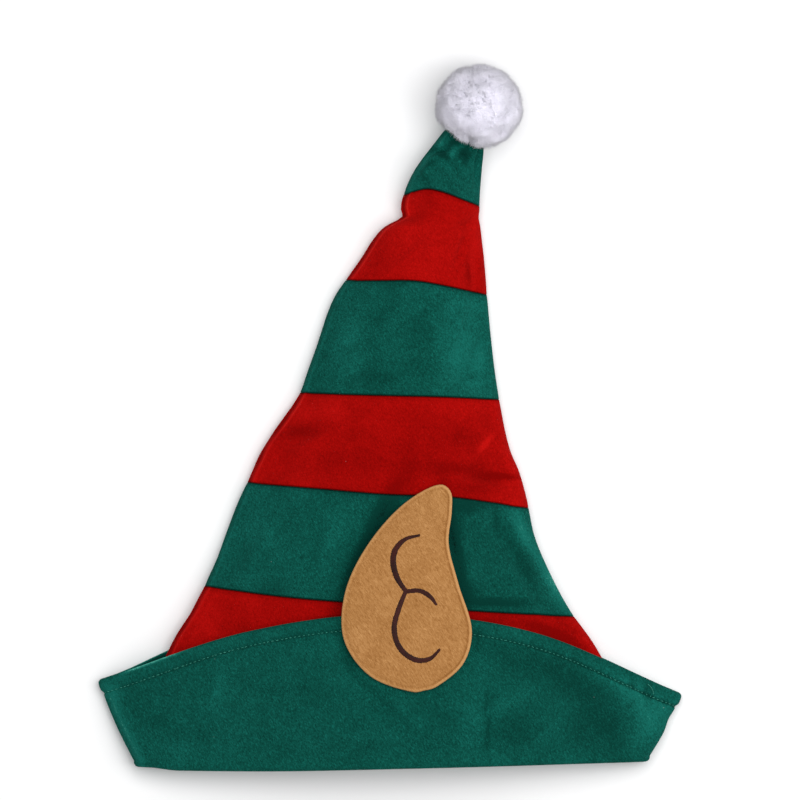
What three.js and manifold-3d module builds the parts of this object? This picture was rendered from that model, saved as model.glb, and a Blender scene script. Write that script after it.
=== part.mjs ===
// A striped felt elf hat, lying flat on its side with one ear up: a sewn crown of six felt bands, a
// turned-up brim with a stitched hem, a felt ear on each side with its embroidered lines, and a pompom.
// Millimetres. +Y runs from the mouth to the tip, +X to the right seen from above, and +Z up from the
// surface that the hat lies on. The hat is hollow, with its mouth towards -Y.
import * as THREE from "three";
import { mergeVertices } from "three/addons/utils/BufferGeometryUtils.js";
import Module from "manifold-3d";

const wasm = await Module();
wasm.setup();

// Driving sizes of the felt
const FELT = 1.5; // one layer
const PIECE_GAP = 0.3; // between pieces that touch
const UNDER_GAP = 1; // room between the crown and the hem under it

// Driving sizes of the crown
const CROWN_HEIGHT = 364.5; // brim fold to tip
const MOUTH_WIDTH = 282; // across the crown at its mouth, flat
const CROWN_DEPTH = 30; // how far the crown stands open at its mouth
const CROWN_CREASE = 8; // thickness of the soft crease along each side
const LIP_HEIGHT = 12; // brim felt that runs up inside the mouth
const BOW_POWER = 2.2; // how boxy the upper layer's bow is
const SETTLE_RISE = 1.6; // height where the crown comes down past the hem, as a share of BRIM_HEIGHT
const CREASE_OF_DEPTH = 0.8; // largest side crease as a share of the depth there
const CREASE_OF_WIDTH = 0.6; // largest side crease as a share of the width there
const FOLD_FADE = 0.35; // bow below which the soft folds fade out

// Driving sizes of the brim
const BRIM_HEIGHT = 87.7; // fold to top edge, in the middle
const BRIM_WIDTH = 327.2; // across its top edge
const BRIM_SHIFT = -0.7; // of its top edge to the right
const BRIM_BELLY = 0.8; // how far its ends bow outwards
const BRIM_CREASE = 7; // thickness of its end creases
const BRIM_STAND = 2; // how far its top edge stands off the crown
const BACK_RISE = 3.2; // how far its underside edge shows past the upper one
const HEM_DEPTH = 8.2; // top edge to hem stitching
const HEM_PUFF = 1.2; // how far the hem sticks out at the two ends
const STITCH_PINCH = 0.5; // how deep the hem stitching pulls in

// Driving sizes of the ears
const EAR_HEIGHT = 116.8;
const EAR_WIDTH = 73.4;
const EAR_THICKNESS = 3.2;
const EAR_RIGHT = 8.5; // middle of the ear from the middle of the mouth
const EAR_UP = 101.9; // middle of the ear from the brim fold
const RIM_GROOVE = 0.5; // how deep the pressed line inside the ear's edge is
const THREAD_WIDTH = 3.2; // widest embroidered stroke
const THREAD_DEPTH = 0.8; // how deep the embroidery sits in the felt
const THREAD_PROUD = 0.4; // how far it stands out of the felt
const THREAD_SHOULDER = 0.2; // height of its edges as a share of THREAD_PROUD
const THREAD_SEAT = 1.03; // height of the felt under it as a share of EAR_THICKNESS
const DRAPE_START = 1.35; // the crown drapes over the ear below it from this share of the ear's half size
const DRAPE_END = 3; // to this one

// Driving sizes of the pompom
const POMPOM_DIAMETER = 49;
const POMPOM_ASIDE = 8.6; // its middle to the right of the middle of the crown's tip
const POMPOM_PAST = 8.1; // its middle past the crown's tip
const LOCK_COUNT = 38;
const LOCK_WIDTH = 14;
const HEAD_SHARE = 0.86; // head that the locks grow from, as a share of the pompom

// Facets
const FRONT_STEPS = 16;
const BACK_STEPS = 8;
const CREASE_STEPS = 4;
const FOLD_STEPS = 3;
const EAR_STEPS = 28;
const STROKE_STEPS = 9;
const LOCK_SIDES = 6;

const GREEN = "#0d5242";
const RED = "#a30b07";
const TAN = "#b27f4b";
const BROWN = "#45211a";
const WHITE = "#e4e2e8";
const FELT_ROUGHNESS = 0.95;
const THREAD_ROUGHNESS = 0.6;

// Sections of the crown: rise as a share of CROWN_HEIGHT, left and right as shares of half the mouth's
// width, depth as a share of CROWN_DEPTH, and lift off the surface as a share of POMPOM_DIAMETER
const CROWN_SECTIONS = [
  { rise: 0, left: -1, right: 1, depth: 1, lift: 0 },
  { rise: 0.062, left: -0.967, right: 0.965, depth: 1, lift: 0 },
  { rise: 0.124, left: -0.93, right: 0.9, depth: 0.99, lift: 0 },
  { rise: 0.193, left: -0.875, right: 0.807, depth: 0.97, lift: 0 },
  { rise: 0.248, left: -0.791, right: 0.707, depth: 0.96, lift: 0 },
  { rise: 0.304, left: -0.719, right: 0.63, depth: 0.94, lift: 0 },
  { rise: 0.36, left: -0.662, right: 0.57, depth: 0.92, lift: 0 },
  { rise: 0.416, left: -0.606, right: 0.54, depth: 0.88, lift: 0 },
  { rise: 0.491, left: -0.518, right: 0.474, depth: 0.84, lift: 0 },
  { rise: 0.578, left: -0.369, right: 0.426, depth: 0.79, lift: 0 },
  { rise: 0.677, left: -0.277, right: 0.393, depth: 0.75, lift: 0 },
  { rise: 0.73, left: -0.225, right: 0.381, depth: 0.73, lift: 0 },
  { rise: 0.786, left: -0.124, right: 0.369, depth: 0.72, lift: 0.01 },
  { rise: 0.82, left: -0.068, right: 0.359, depth: 0.72, lift: 0.025 },
  { rise: 0.839, left: -0.02, right: 0.353, depth: 0.68, lift: 0.04 },
  { rise: 0.853, left: 0.046, right: 0.347, depth: 0.6, lift: 0.06 },
  { rise: 0.864, left: 0.042, right: 0.351, depth: 0.62, lift: 0.075 },
  { rise: 0.882, left: 0.046, right: 0.351, depth: 0.62, lift: 0.1 },
  { rise: 0.926, left: 0.096, right: 0.359, depth: 0.56, lift: 0.16 },
  { rise: 0.963, left: 0.165, right: 0.365, depth: 0.48, lift: 0.22 },
  { rise: 1, left: 0.245, right: 0.335, depth: 0.36, lift: 0.28 },
];

// Seams across the crown, from the mouth up, as shares of CROWN_HEIGHT at five places from left to right
const FOLD_LINE = { left: -0.002, leftMiddle: -0.0025, middle: 0.0015, rightMiddle: 0.006, right: 0.0105 };
const SEAMS = [
  { left: 0.283, leftMiddle: 0.266, middle: 0.255, rightMiddle: 0.245, right: 0.236 },
  { left: 0.443, leftMiddle: 0.434, middle: 0.425, rightMiddle: 0.42, right: 0.403 },
  { left: 0.582, leftMiddle: 0.579, middle: 0.577, rightMiddle: 0.575, right: 0.571 },
  { left: 0.756, leftMiddle: 0.755, middle: 0.754, rightMiddle: 0.745, right: 0.733 },
  { left: 0.888, leftMiddle: 0.897, middle: 0.893, rightMiddle: 0.883, right: 0.871 },
];

// Top edge of the brim, as shares of BRIM_HEIGHT at the same five places
const BRIM_EDGE = { left: 0.583, leftMiddle: 0.886, middle: 1, rightMiddle: 0.883, right: 0.497 };

// Bands of the crown from the mouth up, with the rows of facets in each
const BANDS = [
  { name: "lower_red_band", colour: RED, rows: 6 },
  { name: "lower_green_band", colour: GREEN, rows: 5 },
  { name: "middle_red_band", colour: RED, rows: 5 },
  { name: "middle_green_band", colour: GREEN, rows: 5 },
  { name: "upper_red_band", colour: RED, rows: 8 },
  { name: "tip_band", colour: GREEN, rows: 5 },
];

// Soft folds in the upper layer: place across as a share of half the mouth's width and up as a share of
// CROWN_HEIGHT, run and spread as shares of CROWN_HEIGHT, turn in degrees from +X, and height as a share
// of CROWN_DEPTH, below zero where it is a dent
const CROWN_FOLDS = [
  { across: 0.56, up: 0.335, run: 0.075, spread: 0.026, turn: -62, height: 0.1 },
  { across: 0.46, up: 0.36, run: 0.07, spread: 0.022, turn: -70, height: -0.09 },
  { across: 0.41, up: 0.475, run: 0.04, spread: 0.022, turn: 35, height: -0.08 },
  { across: 0.34, up: 0.63, run: 0.05, spread: 0.024, turn: 60, height: -0.07 },
  { across: -0.4, up: 0.48, run: 0.04, spread: 0.024, turn: 10, height: -0.07 },
  { across: 0.33, up: 0.745, run: 0.05, spread: 0.014, turn: 84, height: -0.08 },
  { across: 0.04, up: 0.842, run: 0.025, spread: 0.012, turn: 32, height: 0.09 },
  { across: 0.09, up: 0.862, run: 0.025, spread: 0.012, turn: 32, height: -0.12 },
];

// Rows of the cuff, as shares of the way from its fold to its hem, and rows of the hem: below the top edge
// as a share of HEM_DEPTH, puff at the ends as a share of HEM_PUFF, depth as a share of FELT, and pinch as
// a share of STITCH_PINCH
const CUFF_ROWS = [0, 0.25, 0.5, 0.75, 0.93];
const HEM_ROWS = [
  { below: 1, puff: -0.4, depth: 1, pinch: 1 },
  { below: 0.8, puff: 0.7, depth: 2, pinch: 0 },
  { below: 0.35, puff: 1, depth: 2, pinch: 0 },
  { below: 0, puff: 0.6, depth: 1.4, pinch: 0.9 },
];
const BRIM_FOLDS = [
  { across: 0.38, up: 0.055, run: 0.1, spread: 0.02, turn: 92, height: -0.06 },
  { across: 0.03, up: 0.05, run: 0.06, spread: 0.03, turn: -40, height: -0.05 },
  { across: 0.85, up: 0.08, run: 0.06, spread: 0.03, turn: -60, height: -0.06 },
];

// Outline of the ear, clockwise from its tip, as shares of its width from the left and of its height
const EAR_OUTLINE = [
  { across: 0.751, up: 1 },
  { across: 0.839, up: 0.966 },
  { across: 0.847, up: 0.869 },
  { across: 0.823, up: 0.719 },
  { across: 0.897, up: 0.526 },
  { across: 1, up: 0.301 },
  { across: 0.936, up: 0.141 },
  { across: 0.732, up: 0.028 },
  { across: 0.553, up: 0 },
  { across: 0.221, up: 0.076 },
  { across: 0.022, up: 0.253 },
  { across: 0.028, up: 0.478 },
  { across: 0.194, up: 0.703 },
  { across: 0.476, up: 0.906 },
];
const EAR_HEART = { across: 0.53, up: 0.44 }; // the point that its rings of facets close on

// Layers of the ear from its edge to its heart: size as a share of the outline, and height of its outer
// face as a share of the thickness
const EAR_LAYERS = [
  { size: 1, height: 0.62 },
  { size: 0.975, height: 1 },
  { size: 0.935, height: 1 },
  { size: 0.8, height: 1.02 },
  { size: 0.55, height: 1.05 },
  { size: 0.28, height: 1.05 },
];
const GROOVE_LAYER = 2;
const EAR_UNDER_EDGE = 0.3; // height of the under face's edge as a share of the thickness

// Embroidered strokes of the ear: points as shares of its width and height, with the stroke's width there
// as a share of THREAD_WIDTH
const STROKES = [
  [
    { across: 0.601, up: 0.757, width: 0.3 },
    { across: 0.476, up: 0.735, width: 0.7 },
    { across: 0.396, up: 0.679, width: 1 },
    { across: 0.387, up: 0.623, width: 1 },
    { across: 0.425, up: 0.55, width: 0.85 },
    { across: 0.495, up: 0.488, width: 0.6 },
  ],
  [
    { across: 0.49, up: 0.487, width: 0.6 },
    { across: 0.604, up: 0.49, width: 0.8 },
    { across: 0.681, up: 0.462, width: 0.7 },
    { across: 0.729, up: 0.423, width: 0.35 },
  ],
  [
    { across: 0.495, up: 0.49, width: 0.5 },
    { across: 0.437, up: 0.397, width: 0.85 },
    { across: 0.406, up: 0.317, width: 0.95 },
    { across: 0.425, up: 0.245, width: 0.95 },
    { across: 0.489, up: 0.188, width: 1 },
    { across: 0.591, up: 0.156, width: 0.9 },
    { across: 0.681, up: 0.165, width: 0.7 },
    { across: 0.755, up: 0.209, width: 0.3 },
  ],
];

// Outline of one lock of the pompom from its root out: half its width as a share of LOCK_WIDTH / 2, and
// the distance from the pompom's middle as a share of its radius
const LOCK_PROFILE = [
  { across: 0, out: 0.5 },
  { across: 1, out: 0.82 },
  { across: 0.62, out: 0.97 },
  { across: 0, out: 1 },
];

// Sizes that follow from those above
const HALF_MOUTH = MOUTH_WIDTH / 2;
const BACK_STACK = 2 * FELT + UNDER_GAP; // the hem under the crown's lower layer
const CUFF_GAP = BACK_STACK - FELT; // crown to brim, so that the doubled hem clears the crown
const FOLD_RADIUS = FELT + CUFF_GAP / 2; // outside of the fold that turns the brim up
const EAR_STACK = EAR_THICKNESS + THREAD_PROUD; // underside ear with its embroidery
const PLACES = ["left", "leftMiddle", "middle", "rightMiddle", "right"];

// A function through rows of a table, smooth in between
function curveThrough(rows, at, key) {
  const curve = new THREE.CubicInterpolant(
    rows.map((row) => row[at]),
    rows.map((row) => row[key]),
    1,
    [0],
  );
  return (t) => curve.evaluate(t)[0];
}

// A line across the hat from its values at five places; s runs from -1 at the left to 1 at the right
function lineAcross(line) {
  const rows = PLACES.map((place, i) => ({ s: i / 2 - 1, value: line[place] }));
  return curveThrough(rows, "s", "value");
}

const foldLine = lineAcross(FOLD_LINE);
const seamLines = SEAMS.map(lineAcross);
const brimEdge = lineAcross(BRIM_EDGE);
const crown = Object.fromEntries(
  ["left", "right", "depth", "lift"].map((key) => [key, curveThrough(CROWN_SECTIONS, "rise", key)]),
);

const foldHeight = (s) => foldLine(s) * CROWN_HEIGHT;
const brimTop = (s) => brimEdge(s) * BRIM_HEIGHT;

// Height of a band's lower edge, counted from the mouth: the brim's lip, then each seam, then the tip
function seamHeight(index, s) {
  if (index === 0) return foldHeight(s) + LIP_HEIGHT;
  if (index > SEAMS.length) return CROWN_HEIGHT;
  return seamLines[index - 1](s) * CROWN_HEIGHT;
}

// Lift of the whole hat where the underside ear lies below it
function earLift(x, y) {
  const across = (x - EAR_RIGHT) / (EAR_WIDTH / 2);
  const along = (y - EAR_UP) / (EAR_HEIGHT / 2);
  const away = Math.hypot(across, along);
  return (EAR_STACK + PIECE_GAP) * (1 - THREE.MathUtils.smoothstep(away, DRAPE_START, DRAPE_END));
}

// Sum of the soft folds at a place on the upper layer
function foldsAt(folds, x, y) {
  let height = 0;
  for (const fold of folds) {
    const dx = x - fold.across * HALF_MOUTH;
    const dy = y - fold.up * CROWN_HEIGHT;
    const turn = THREE.MathUtils.degToRad(fold.turn);
    const along = (dx * Math.cos(turn) + dy * Math.sin(turn)) / (fold.run * CROWN_HEIGHT);
    const beside = (dy * Math.cos(turn) - dx * Math.sin(turn)) / (fold.spread * CROWN_HEIGHT);
    height += fold.height * CROWN_DEPTH * Math.exp(-along * along - beside * beside);
  }
  return height;
}

// The sides, depth, crease and lift of the crown at a height
function crownSection(y) {
  const rise = y / CROWN_HEIGHT;
  const settle = 1 - THREE.MathUtils.smoothstep(y, BRIM_HEIGHT, SETTLE_RISE * BRIM_HEIGHT);
  const depth = crown.depth(rise) * CROWN_DEPTH;
  const left = crown.left(rise) * HALF_MOUTH;
  const right = crown.right(rise) * HALF_MOUTH;
  return {
    left,
    right,
    depth,
    crease: Math.min(CROWN_CREASE, CREASE_OF_DEPTH * depth, CREASE_OF_WIDTH * (right - left)),
    lift: crown.lift(rise) * POMPOM_DIAMETER + settle * BACK_STACK,
  };
}

// How far the upper layer bows up at s, as a share of the section's full bow
const bow = (s) => 1 - Math.abs(s) ** BOW_POWER;

// -1 on the left crease, 1 on the right one, 0 between them
const endSide = (place) => (Math.abs(place.flat) === 1 ? Math.sign(place.flat) : 0);

// Places round a flattened section: s across it, and turn, from 90 degrees on the upper layer to -90 below
function ringPlaces() {
  const places = [];
  for (let i = 0; i <= FRONT_STEPS; i++) places.push({ flat: (2 * i) / FRONT_STEPS - 1, turn: 90 });
  for (let i = 1; i < CREASE_STEPS; i++) places.push({ flat: 1, turn: 90 - (180 * i) / CREASE_STEPS });
  for (let i = 0; i <= BACK_STEPS; i++) places.push({ flat: 1 - (2 * i) / BACK_STEPS, turn: -90 });
  for (let i = 1; i < CREASE_STEPS; i++) places.push({ flat: -1, turn: -90 + (180 * i) / CREASE_STEPS });
  return places;
}
const RING = ringPlaces();

// A point of a section, at one place of the ring and without its height along the hat
function sectionPoint(section, place) {
  const middle = (section.left + section.right) / 2;
  const half = (section.right - section.left) / 2;
  const radius = section.crease / 2;
  const turn = THREE.MathUtils.degToRad(place.turn);
  const reach = place.flat * (half - radius) + Math.sign(place.flat) * radius * Math.cos(turn);
  const s = reach / half;
  const raised = place.turn > 0 ? (section.depth - section.crease) * bow(s) : 0;
  return { x: middle + reach, s, z: section.lift + radius + radius * Math.sin(turn) + raised };
}

// A place's s, near enough to read the lines across the hat
const placeAcross = (place) => place.flat;

// The crown's outer surface at one place and height
function crownPoint(place, y) {
  const section = crownSection(y);
  const p = sectionPoint(section, place);
  const upper = Math.max(0, place.turn / 90);
  const fade = THREE.MathUtils.smoothstep(bow(p.s), 0, FOLD_FADE);
  const folds = upper * fade * foldsAt(CROWN_FOLDS, p.x, y);
  return new THREE.Vector3(p.x, y, p.z + folds + earLift(p.x, y));
}

// A point of the crown's wall: depth is how far it lies inside the outer surface
function crownWall(k, y, depth = 0) {
  const at = (index, height) => crownPoint(RING[(index + RING.length) % RING.length], height);
  const across = at(k + 1, y).sub(at(k - 1, y));
  const along = at(k, y + 1).sub(at(k, y - 1));
  return at(k, y).addScaledVector(across.cross(along).normalize(), -depth);
}

// The height of the crown's upper surface over a point of the ground plane
function crownFace(x, y) {
  const section = crownSection(y);
  const s = (2 * x - section.left - section.right) / (section.right - section.left);
  const raised = section.crease + (section.depth - section.crease) * bow(s);
  return section.lift + raised + foldsAt(CROWN_FOLDS, x, y) + earLift(x, y);
}

// Outward directions round a ring, in the plane of the section
function ringNormals(ring) {
  return ring.map((_, k) => {
    const before = ring[(k + ring.length - 1) % ring.length];
    const after = ring[(k + 1) % ring.length];
    return new THREE.Vector3(-(after.z - before.z), 0, after.x - before.x).normalize();
  });
}

// The brim's outer face just above its fold: the crown's mouth, moved out past the fold
const brimFoot = () =>
  RING.map((place, k) => crownWall(k, foldHeight(placeAcross(place)) + FOLD_RADIUS, -FELT - CUFF_GAP));

// The brim's outer face at its top edge
function brimCrest() {
  const half = BRIM_WIDTH / 2;
  const depth = CROWN_DEPTH + BACK_STACK + CUFF_GAP + FELT + BRIM_STAND;
  const section = { left: BRIM_SHIFT - half, right: BRIM_SHIFT + half, depth, crease: BRIM_CREASE, lift: 0 };
  return RING.map((place) => {
    const p = sectionPoint(section, place);
    const under = Math.max(0, -place.turn / 90);
    const showing = under * BACK_RISE * Math.max(0, Math.sin(Math.PI * THREE.MathUtils.clamp(-p.s, 0, 1)));
    return new THREE.Vector3(p.x, brimTop(placeAcross(place)) + showing, p.z);
  });
}

const BRIM_FOOT = brimFoot();
const BRIM_CREST = brimCrest();

// The brim's outer face at a place of the ring, a share of the way from its fold to its top edge
function brimPoint(k, share) {
  const foot = BRIM_FOOT[k];
  const p = foot.clone().lerp(BRIM_CREST[k], share);
  const belly = Math.sin(Math.PI * THREE.MathUtils.clamp(share, 0, 1));
  p.x += endSide(RING[k]) * BRIM_BELLY * belly;
  p.z += earLift(p.x, p.y) - (1 - share) * earLift(foot.x, foot.y);
  if (RING[k].turn > 0) p.z += belly * foldsAt(BRIM_FOLDS, p.x, p.y);
  return p;
}

// The height of the brim's upper face over a point of the ground plane, carried on past its top edge
function brimFace(x, y) {
  let best = null;
  for (let k = 0; k < FRONT_STEPS; k++) {
    const share = [k, k + 1].map((i) => (y - BRIM_FOOT[i].y) / (BRIM_CREST[i].y - BRIM_FOOT[i].y));
    const [a, b] = [brimPoint(k, share[0]), brimPoint(k + 1, share[1])];
    if (x < a.x || x > b.x) continue;
    best = THREE.MathUtils.lerp(a.z, b.z, (x - a.x) / (b.x - a.x));
  }
  return best ?? 0;
}

// Outward normals of a grid of rings
function gridNormals(rows) {
  const across = new THREE.Vector3();
  const along = new THREE.Vector3();
  return rows.map((ring, i) => {
    const below = rows[Math.max(i - 1, 0)];
    const above = rows[Math.min(i + 1, rows.length - 1)];
    return ring.map((_, k) => {
      across.subVectors(ring[(k + 1) % ring.length], ring[(k + ring.length - 1) % ring.length]);
      along.subVectors(above[k], below[k]);
      return new THREE.Vector3().crossVectors(across, along).normalize();
    });
  });
}

// A closed wall between outer rings and inner rings, with a rim at each open end; capped closes the last
// rings on their middles instead
function wallGeometry(outer, inner, capped = false) {
  const count = outer[0].length;
  const last = outer.length - 1;
  const points = [...outer, ...inner].flat();
  const faces = [];
  const at = (layer, row, k) => (layer * outer.length + row) * count + (k % count);
  const quad = (a, b, c, d) => faces.push(a, b, c, a, c, d);
  for (let k = 0; k < count; k++) {
    for (let row = 0; row < last; row++) {
      quad(at(0, row, k), at(0, row, k + 1), at(0, row + 1, k + 1), at(0, row + 1, k));
      quad(at(1, row, k + 1), at(1, row, k), at(1, row + 1, k), at(1, row + 1, k + 1));
    }
    quad(at(0, 0, k), at(1, 0, k), at(1, 0, k + 1), at(0, 0, k + 1));
    if (capped) {
      faces.push(at(0, last, k), at(0, last, k + 1), points.length);
      faces.push(at(1, last, k + 1), at(1, last, k), points.length + 1);
    } else {
      quad(at(0, last, k), at(0, last, k + 1), at(1, last, k + 1), at(1, last, k));
    }
  }
  if (capped) points.push(middleOf(outer[last]), middleOf(inner[last]));
  return pointsGeometry(points, faces);
}

const middleOf = (ring) => ring.reduce((sum, p) => sum.add(p), new THREE.Vector3()).divideScalar(ring.length);

// A closed body from a stack of rings, each end closed on its middle
function stackGeometry(rings) {
  const count = rings[0].length;
  const points = [...rings.flat(), middleOf(rings[0]), middleOf(rings.at(-1))];
  const faces = [];
  for (let row = 0; row + 1 < rings.length; row++) {
    for (let k = 0; k < count; k++) {
      const [a, b] = [row * count + k, row * count + ((k + 1) % count)];
      faces.push(a, b, b + count, a, b + count, a + count);
    }
  }
  const lastRow = (rings.length - 1) * count;
  for (let k = 0; k < count; k++) {
    const next = (k + 1) % count;
    faces.push(next, k, points.length - 2);
    faces.push(lastRow + k, lastRow + next, points.length - 1);
  }
  return pointsGeometry(points, faces);
}

function pointsGeometry(points, faces) {
  const geometry = new THREE.BufferGeometry().setFromPoints(points);
  geometry.setIndex(faces);
  geometry.computeVertexNormals();
  return geometry;
}

function materialOf(colour, roughness = FELT_ROUGHNESS) {
  return new THREE.MeshStandardMaterial({ color: colour, roughness, metalness: 0 });
}

function namedMesh(name, geometry, material) {
  const mesh = new THREE.Mesh(geometry, material);
  mesh.name = name;
  return mesh;
}

// Rings of one band of the crown, at a depth inside its outer surface
function bandRings(index, depth) {
  const isTip = index === BANDS.length - 1;
  const { rows } = BANDS[index];
  return Array.from({ length: rows + 1 }, (_, row) =>
    RING.map((place, k) => {
      const s = placeAcross(place);
      const low = seamHeight(index, s) + PIECE_GAP / 2;
      const high = seamHeight(index + 1, s) - (isTip ? depth : PIECE_GAP / 2);
      return crownWall(k, THREE.MathUtils.lerp(low, high, row / rows), depth);
    }),
  );
}

// The six bands of the crown, each a hollow wall of its own
function crownBands() {
  return BANDS.map((band, index) => {
    const isTip = index === BANDS.length - 1;
    const wall = wallGeometry(bandRings(index, 0), bandRings(index, FELT), isTip);
    return namedMesh(band.name, wall, materialOf(band.colour));
  });
}

// Rings of the brim's lip and fold: those of its outer face, or of the face that lies against the crown
function lipRings(isOuter) {
  const radius = isOuter ? FOLD_RADIUS : CUFF_GAP / 2;
  const ring = (turn, up) =>
    RING.map((place, k) => {
      const outwards = CUFF_GAP / 2 - radius * Math.cos(turn);
      const height = up ?? FOLD_RADIUS - radius * Math.sin(turn);
      return crownWall(k, foldHeight(placeAcross(place)) + height, -outwards);
    });
  const turns = Array.from({ length: FOLD_STEPS }, (_, i) => (Math.PI * i) / FOLD_STEPS);
  return [ring(0, LIP_HEIGHT - PIECE_GAP / 2), ...turns.map((turn) => ring(turn))];
}

// Rings of the cuff and its hem, by how far each lies below the top edge, with the wall's depth there
function cuffRings() {
  const lengths = BRIM_FOOT.map((foot, k) => foot.distanceTo(BRIM_CREST[k]));
  const rows = CUFF_ROWS.map((share) => ({ share, puff: 0, depth: 1, pinch: 0 }));
  return [...rows, ...HEM_ROWS].map(({ share, below = 1, puff, depth, pinch }) => {
    const ring = RING.map((place, k) => {
      const hem = (below * HEM_DEPTH) / lengths[k];
      const p = brimPoint(k, (share ?? 1) * (1 - hem));
      p.x += endSide(place) * HEM_PUFF * puff;
      return p;
    });
    const out = ringNormals(ring);
    ring.forEach((p, k) => p.addScaledVector(out[k], -pinch * STITCH_PINCH));
    return { ring, depth: depth * FELT };
  });
}

// The turned-up brim: a lip inside the mouth, the fold, the cuff, and the doubled hem along its top edge
function brim() {
  const cuff = cuffRings();
  const outer = [...lipRings(true), ...cuff.map((row) => row.ring)];
  const normals = gridNormals(outer).slice(-cuff.length);
  const cuffBack = cuff.map((row, i) =>
    row.ring.map((p, k) => p.clone().addScaledVector(normals[i][k], -row.depth)),
  );
  return namedMesh("brim", wallGeometry(outer, [...lipRings(false), ...cuffBack]), materialOf(GREEN));
}

// A point of the ear, from shares of its width and height, about the ear's own middle
const earPoint = ({ across, up }) => new THREE.Vector2((across - 0.5) * EAR_WIDTH, (up - 0.5) * EAR_HEIGHT);

function earOutline() {
  const corners = EAR_OUTLINE.map(earPoint).map((p) => new THREE.Vector3(p.x, p.y, 0));
  const curve = new THREE.CatmullRomCurve3(corners, true, "centripetal");
  return curve.getSpacedPoints(EAR_STEPS).slice(0, EAR_STEPS).reverse();
}

// The ear as a plate on a seat: seat gives the height of what it lies on
function earGeometry(seat) {
  const heart = earPoint(EAR_HEART);
  const outline = earOutline();
  const layer = (size, height) =>
    outline.map((p) => {
      const x = THREE.MathUtils.lerp(heart.x, p.x, size);
      const y = THREE.MathUtils.lerp(heart.y, p.y, size);
      return new THREE.Vector3(x, y, seat(x, y) + height);
    });
  const outerFace = EAR_LAYERS.map(({ size, height }, i) =>
    layer(size, height * EAR_THICKNESS - (i === GROOVE_LAYER ? RIM_GROOVE : 0)),
  );
  const underFace = EAR_LAYERS.slice(1).map(({ size }) => layer(size, 0));
  const edge = layer(1, EAR_UNDER_EDGE * EAR_THICKNESS);
  return stackGeometry([...underFace.reverse(), edge, ...outerFace]);
}

// One embroidered stroke, tapering along its points, from below the felt's face to above it, and larger
// all round by grow
function strokeGeometry(stroke, face, grow) {
  const line = new THREE.CatmullRomCurve3(
    stroke.map((point) => new THREE.Vector3(earPoint(point).x, earPoint(point).y, point.width)),
    false,
    "centripetal",
  );
  const top = THREAD_PROUD + grow;
  const bottom = -THREAD_DEPTH - grow;
  const rings = line.getPoints(STROKE_STEPS).map((p, i) => {
    const along = line.getTangent(i / STROKE_STEPS).setZ(0).normalize();
    const half = (p.z * THREAD_WIDTH) / 2 + grow;
    const end = i === 0 ? -grow : i === STROKE_STEPS ? grow : 0;
    const corner = (share, height) => {
      const x = p.x + along.x * end - along.y * half * share;
      const y = p.y + along.y * end + along.x * half * share;
      return new THREE.Vector3(x, y, face(x, y) + height);
    };
    const shoulder = THREAD_SHOULDER * top;
    return [corner(1, shoulder), corner(0, top), corner(-1, shoulder), corner(-1, bottom), corner(1, bottom)];
  });
  return stackGeometry(rings);
}

// A geometry as a solid that can be joined and cut
function solidOf(geometry) {
  const bare = geometry.clone();
  bare.deleteAttribute("normal");
  bare.deleteAttribute("uv");
  const merged = mergeVertices(bare, 1e-4);
  const mesh = new wasm.Mesh({
    numProp: 3,
    vertProperties: new Float32Array(merged.attributes.position.array),
    triVerts: new Uint32Array(merged.index.array),
  });
  return new wasm.Manifold(mesh);
}

function geometryOf(solid) {
  const { vertProperties, triVerts } = solid.getMesh();
  const geometry = new THREE.BufferGeometry();
  geometry.setAttribute("position", new THREE.BufferAttribute(vertProperties, 3));
  geometry.setIndex(new THREE.BufferAttribute(triVerts, 1));
  geometry.computeVertexNormals();
  return geometry;
}

const joined = (solids) => solids.reduce((sum, solid) => sum.add(solid));

// An ear and its embroidery, which sits in a channel in the felt
function ear(name, seat) {
  const face = (x, y) => seat(x, y) + THREAD_SEAT * EAR_THICKNESS;
  const threads = joined(STROKES.map((stroke) => solidOf(strokeGeometry(stroke, face, 0))));
  const channel = joined(STROKES.map((stroke) => solidOf(strokeGeometry(stroke, face, PIECE_GAP))));
  const group = new THREE.Group();
  group.add(namedMesh(name, geometryOf(solidOf(earGeometry(seat)).subtract(channel)), materialOf(TAN)));
  group.add(namedMesh(name + "_embroidery", geometryOf(threads), materialOf(BROWN, THREAD_ROUGHNESS)));
  return group;
}

// The upper ear lies on the brim and leans down to the crown at its tip
function upperEarSeat(x, y) {
  const [px, py] = [x + EAR_RIGHT, y + EAR_UP];
  const down = THREE.MathUtils.smoothstep(py, BRIM_HEIGHT, EAR_UP + EAR_HEIGHT / 2);
  return PIECE_GAP + THREE.MathUtils.lerp(brimFace(px, py), crownFace(px, py), down);
}

function ears() {
  const upper = ear("upper_ear", upperEarSeat);
  upper.position.set(EAR_RIGHT, EAR_UP, 0);
  const under = ear("under_ear", () => 0);
  under.position.set(EAR_RIGHT, EAR_UP, EAR_STACK);
  under.scale.z = -1;
  return [upper, under];
}

// One lock of the pompom, a drop that points along +Y
function lockGeometry(reach) {
  const profile = LOCK_PROFILE.map(
    ({ across, out }) => new THREE.Vector2((across * LOCK_WIDTH) / 2, out * reach),
  );
  return new THREE.LatheGeometry(profile, LOCK_SIDES);
}

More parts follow.
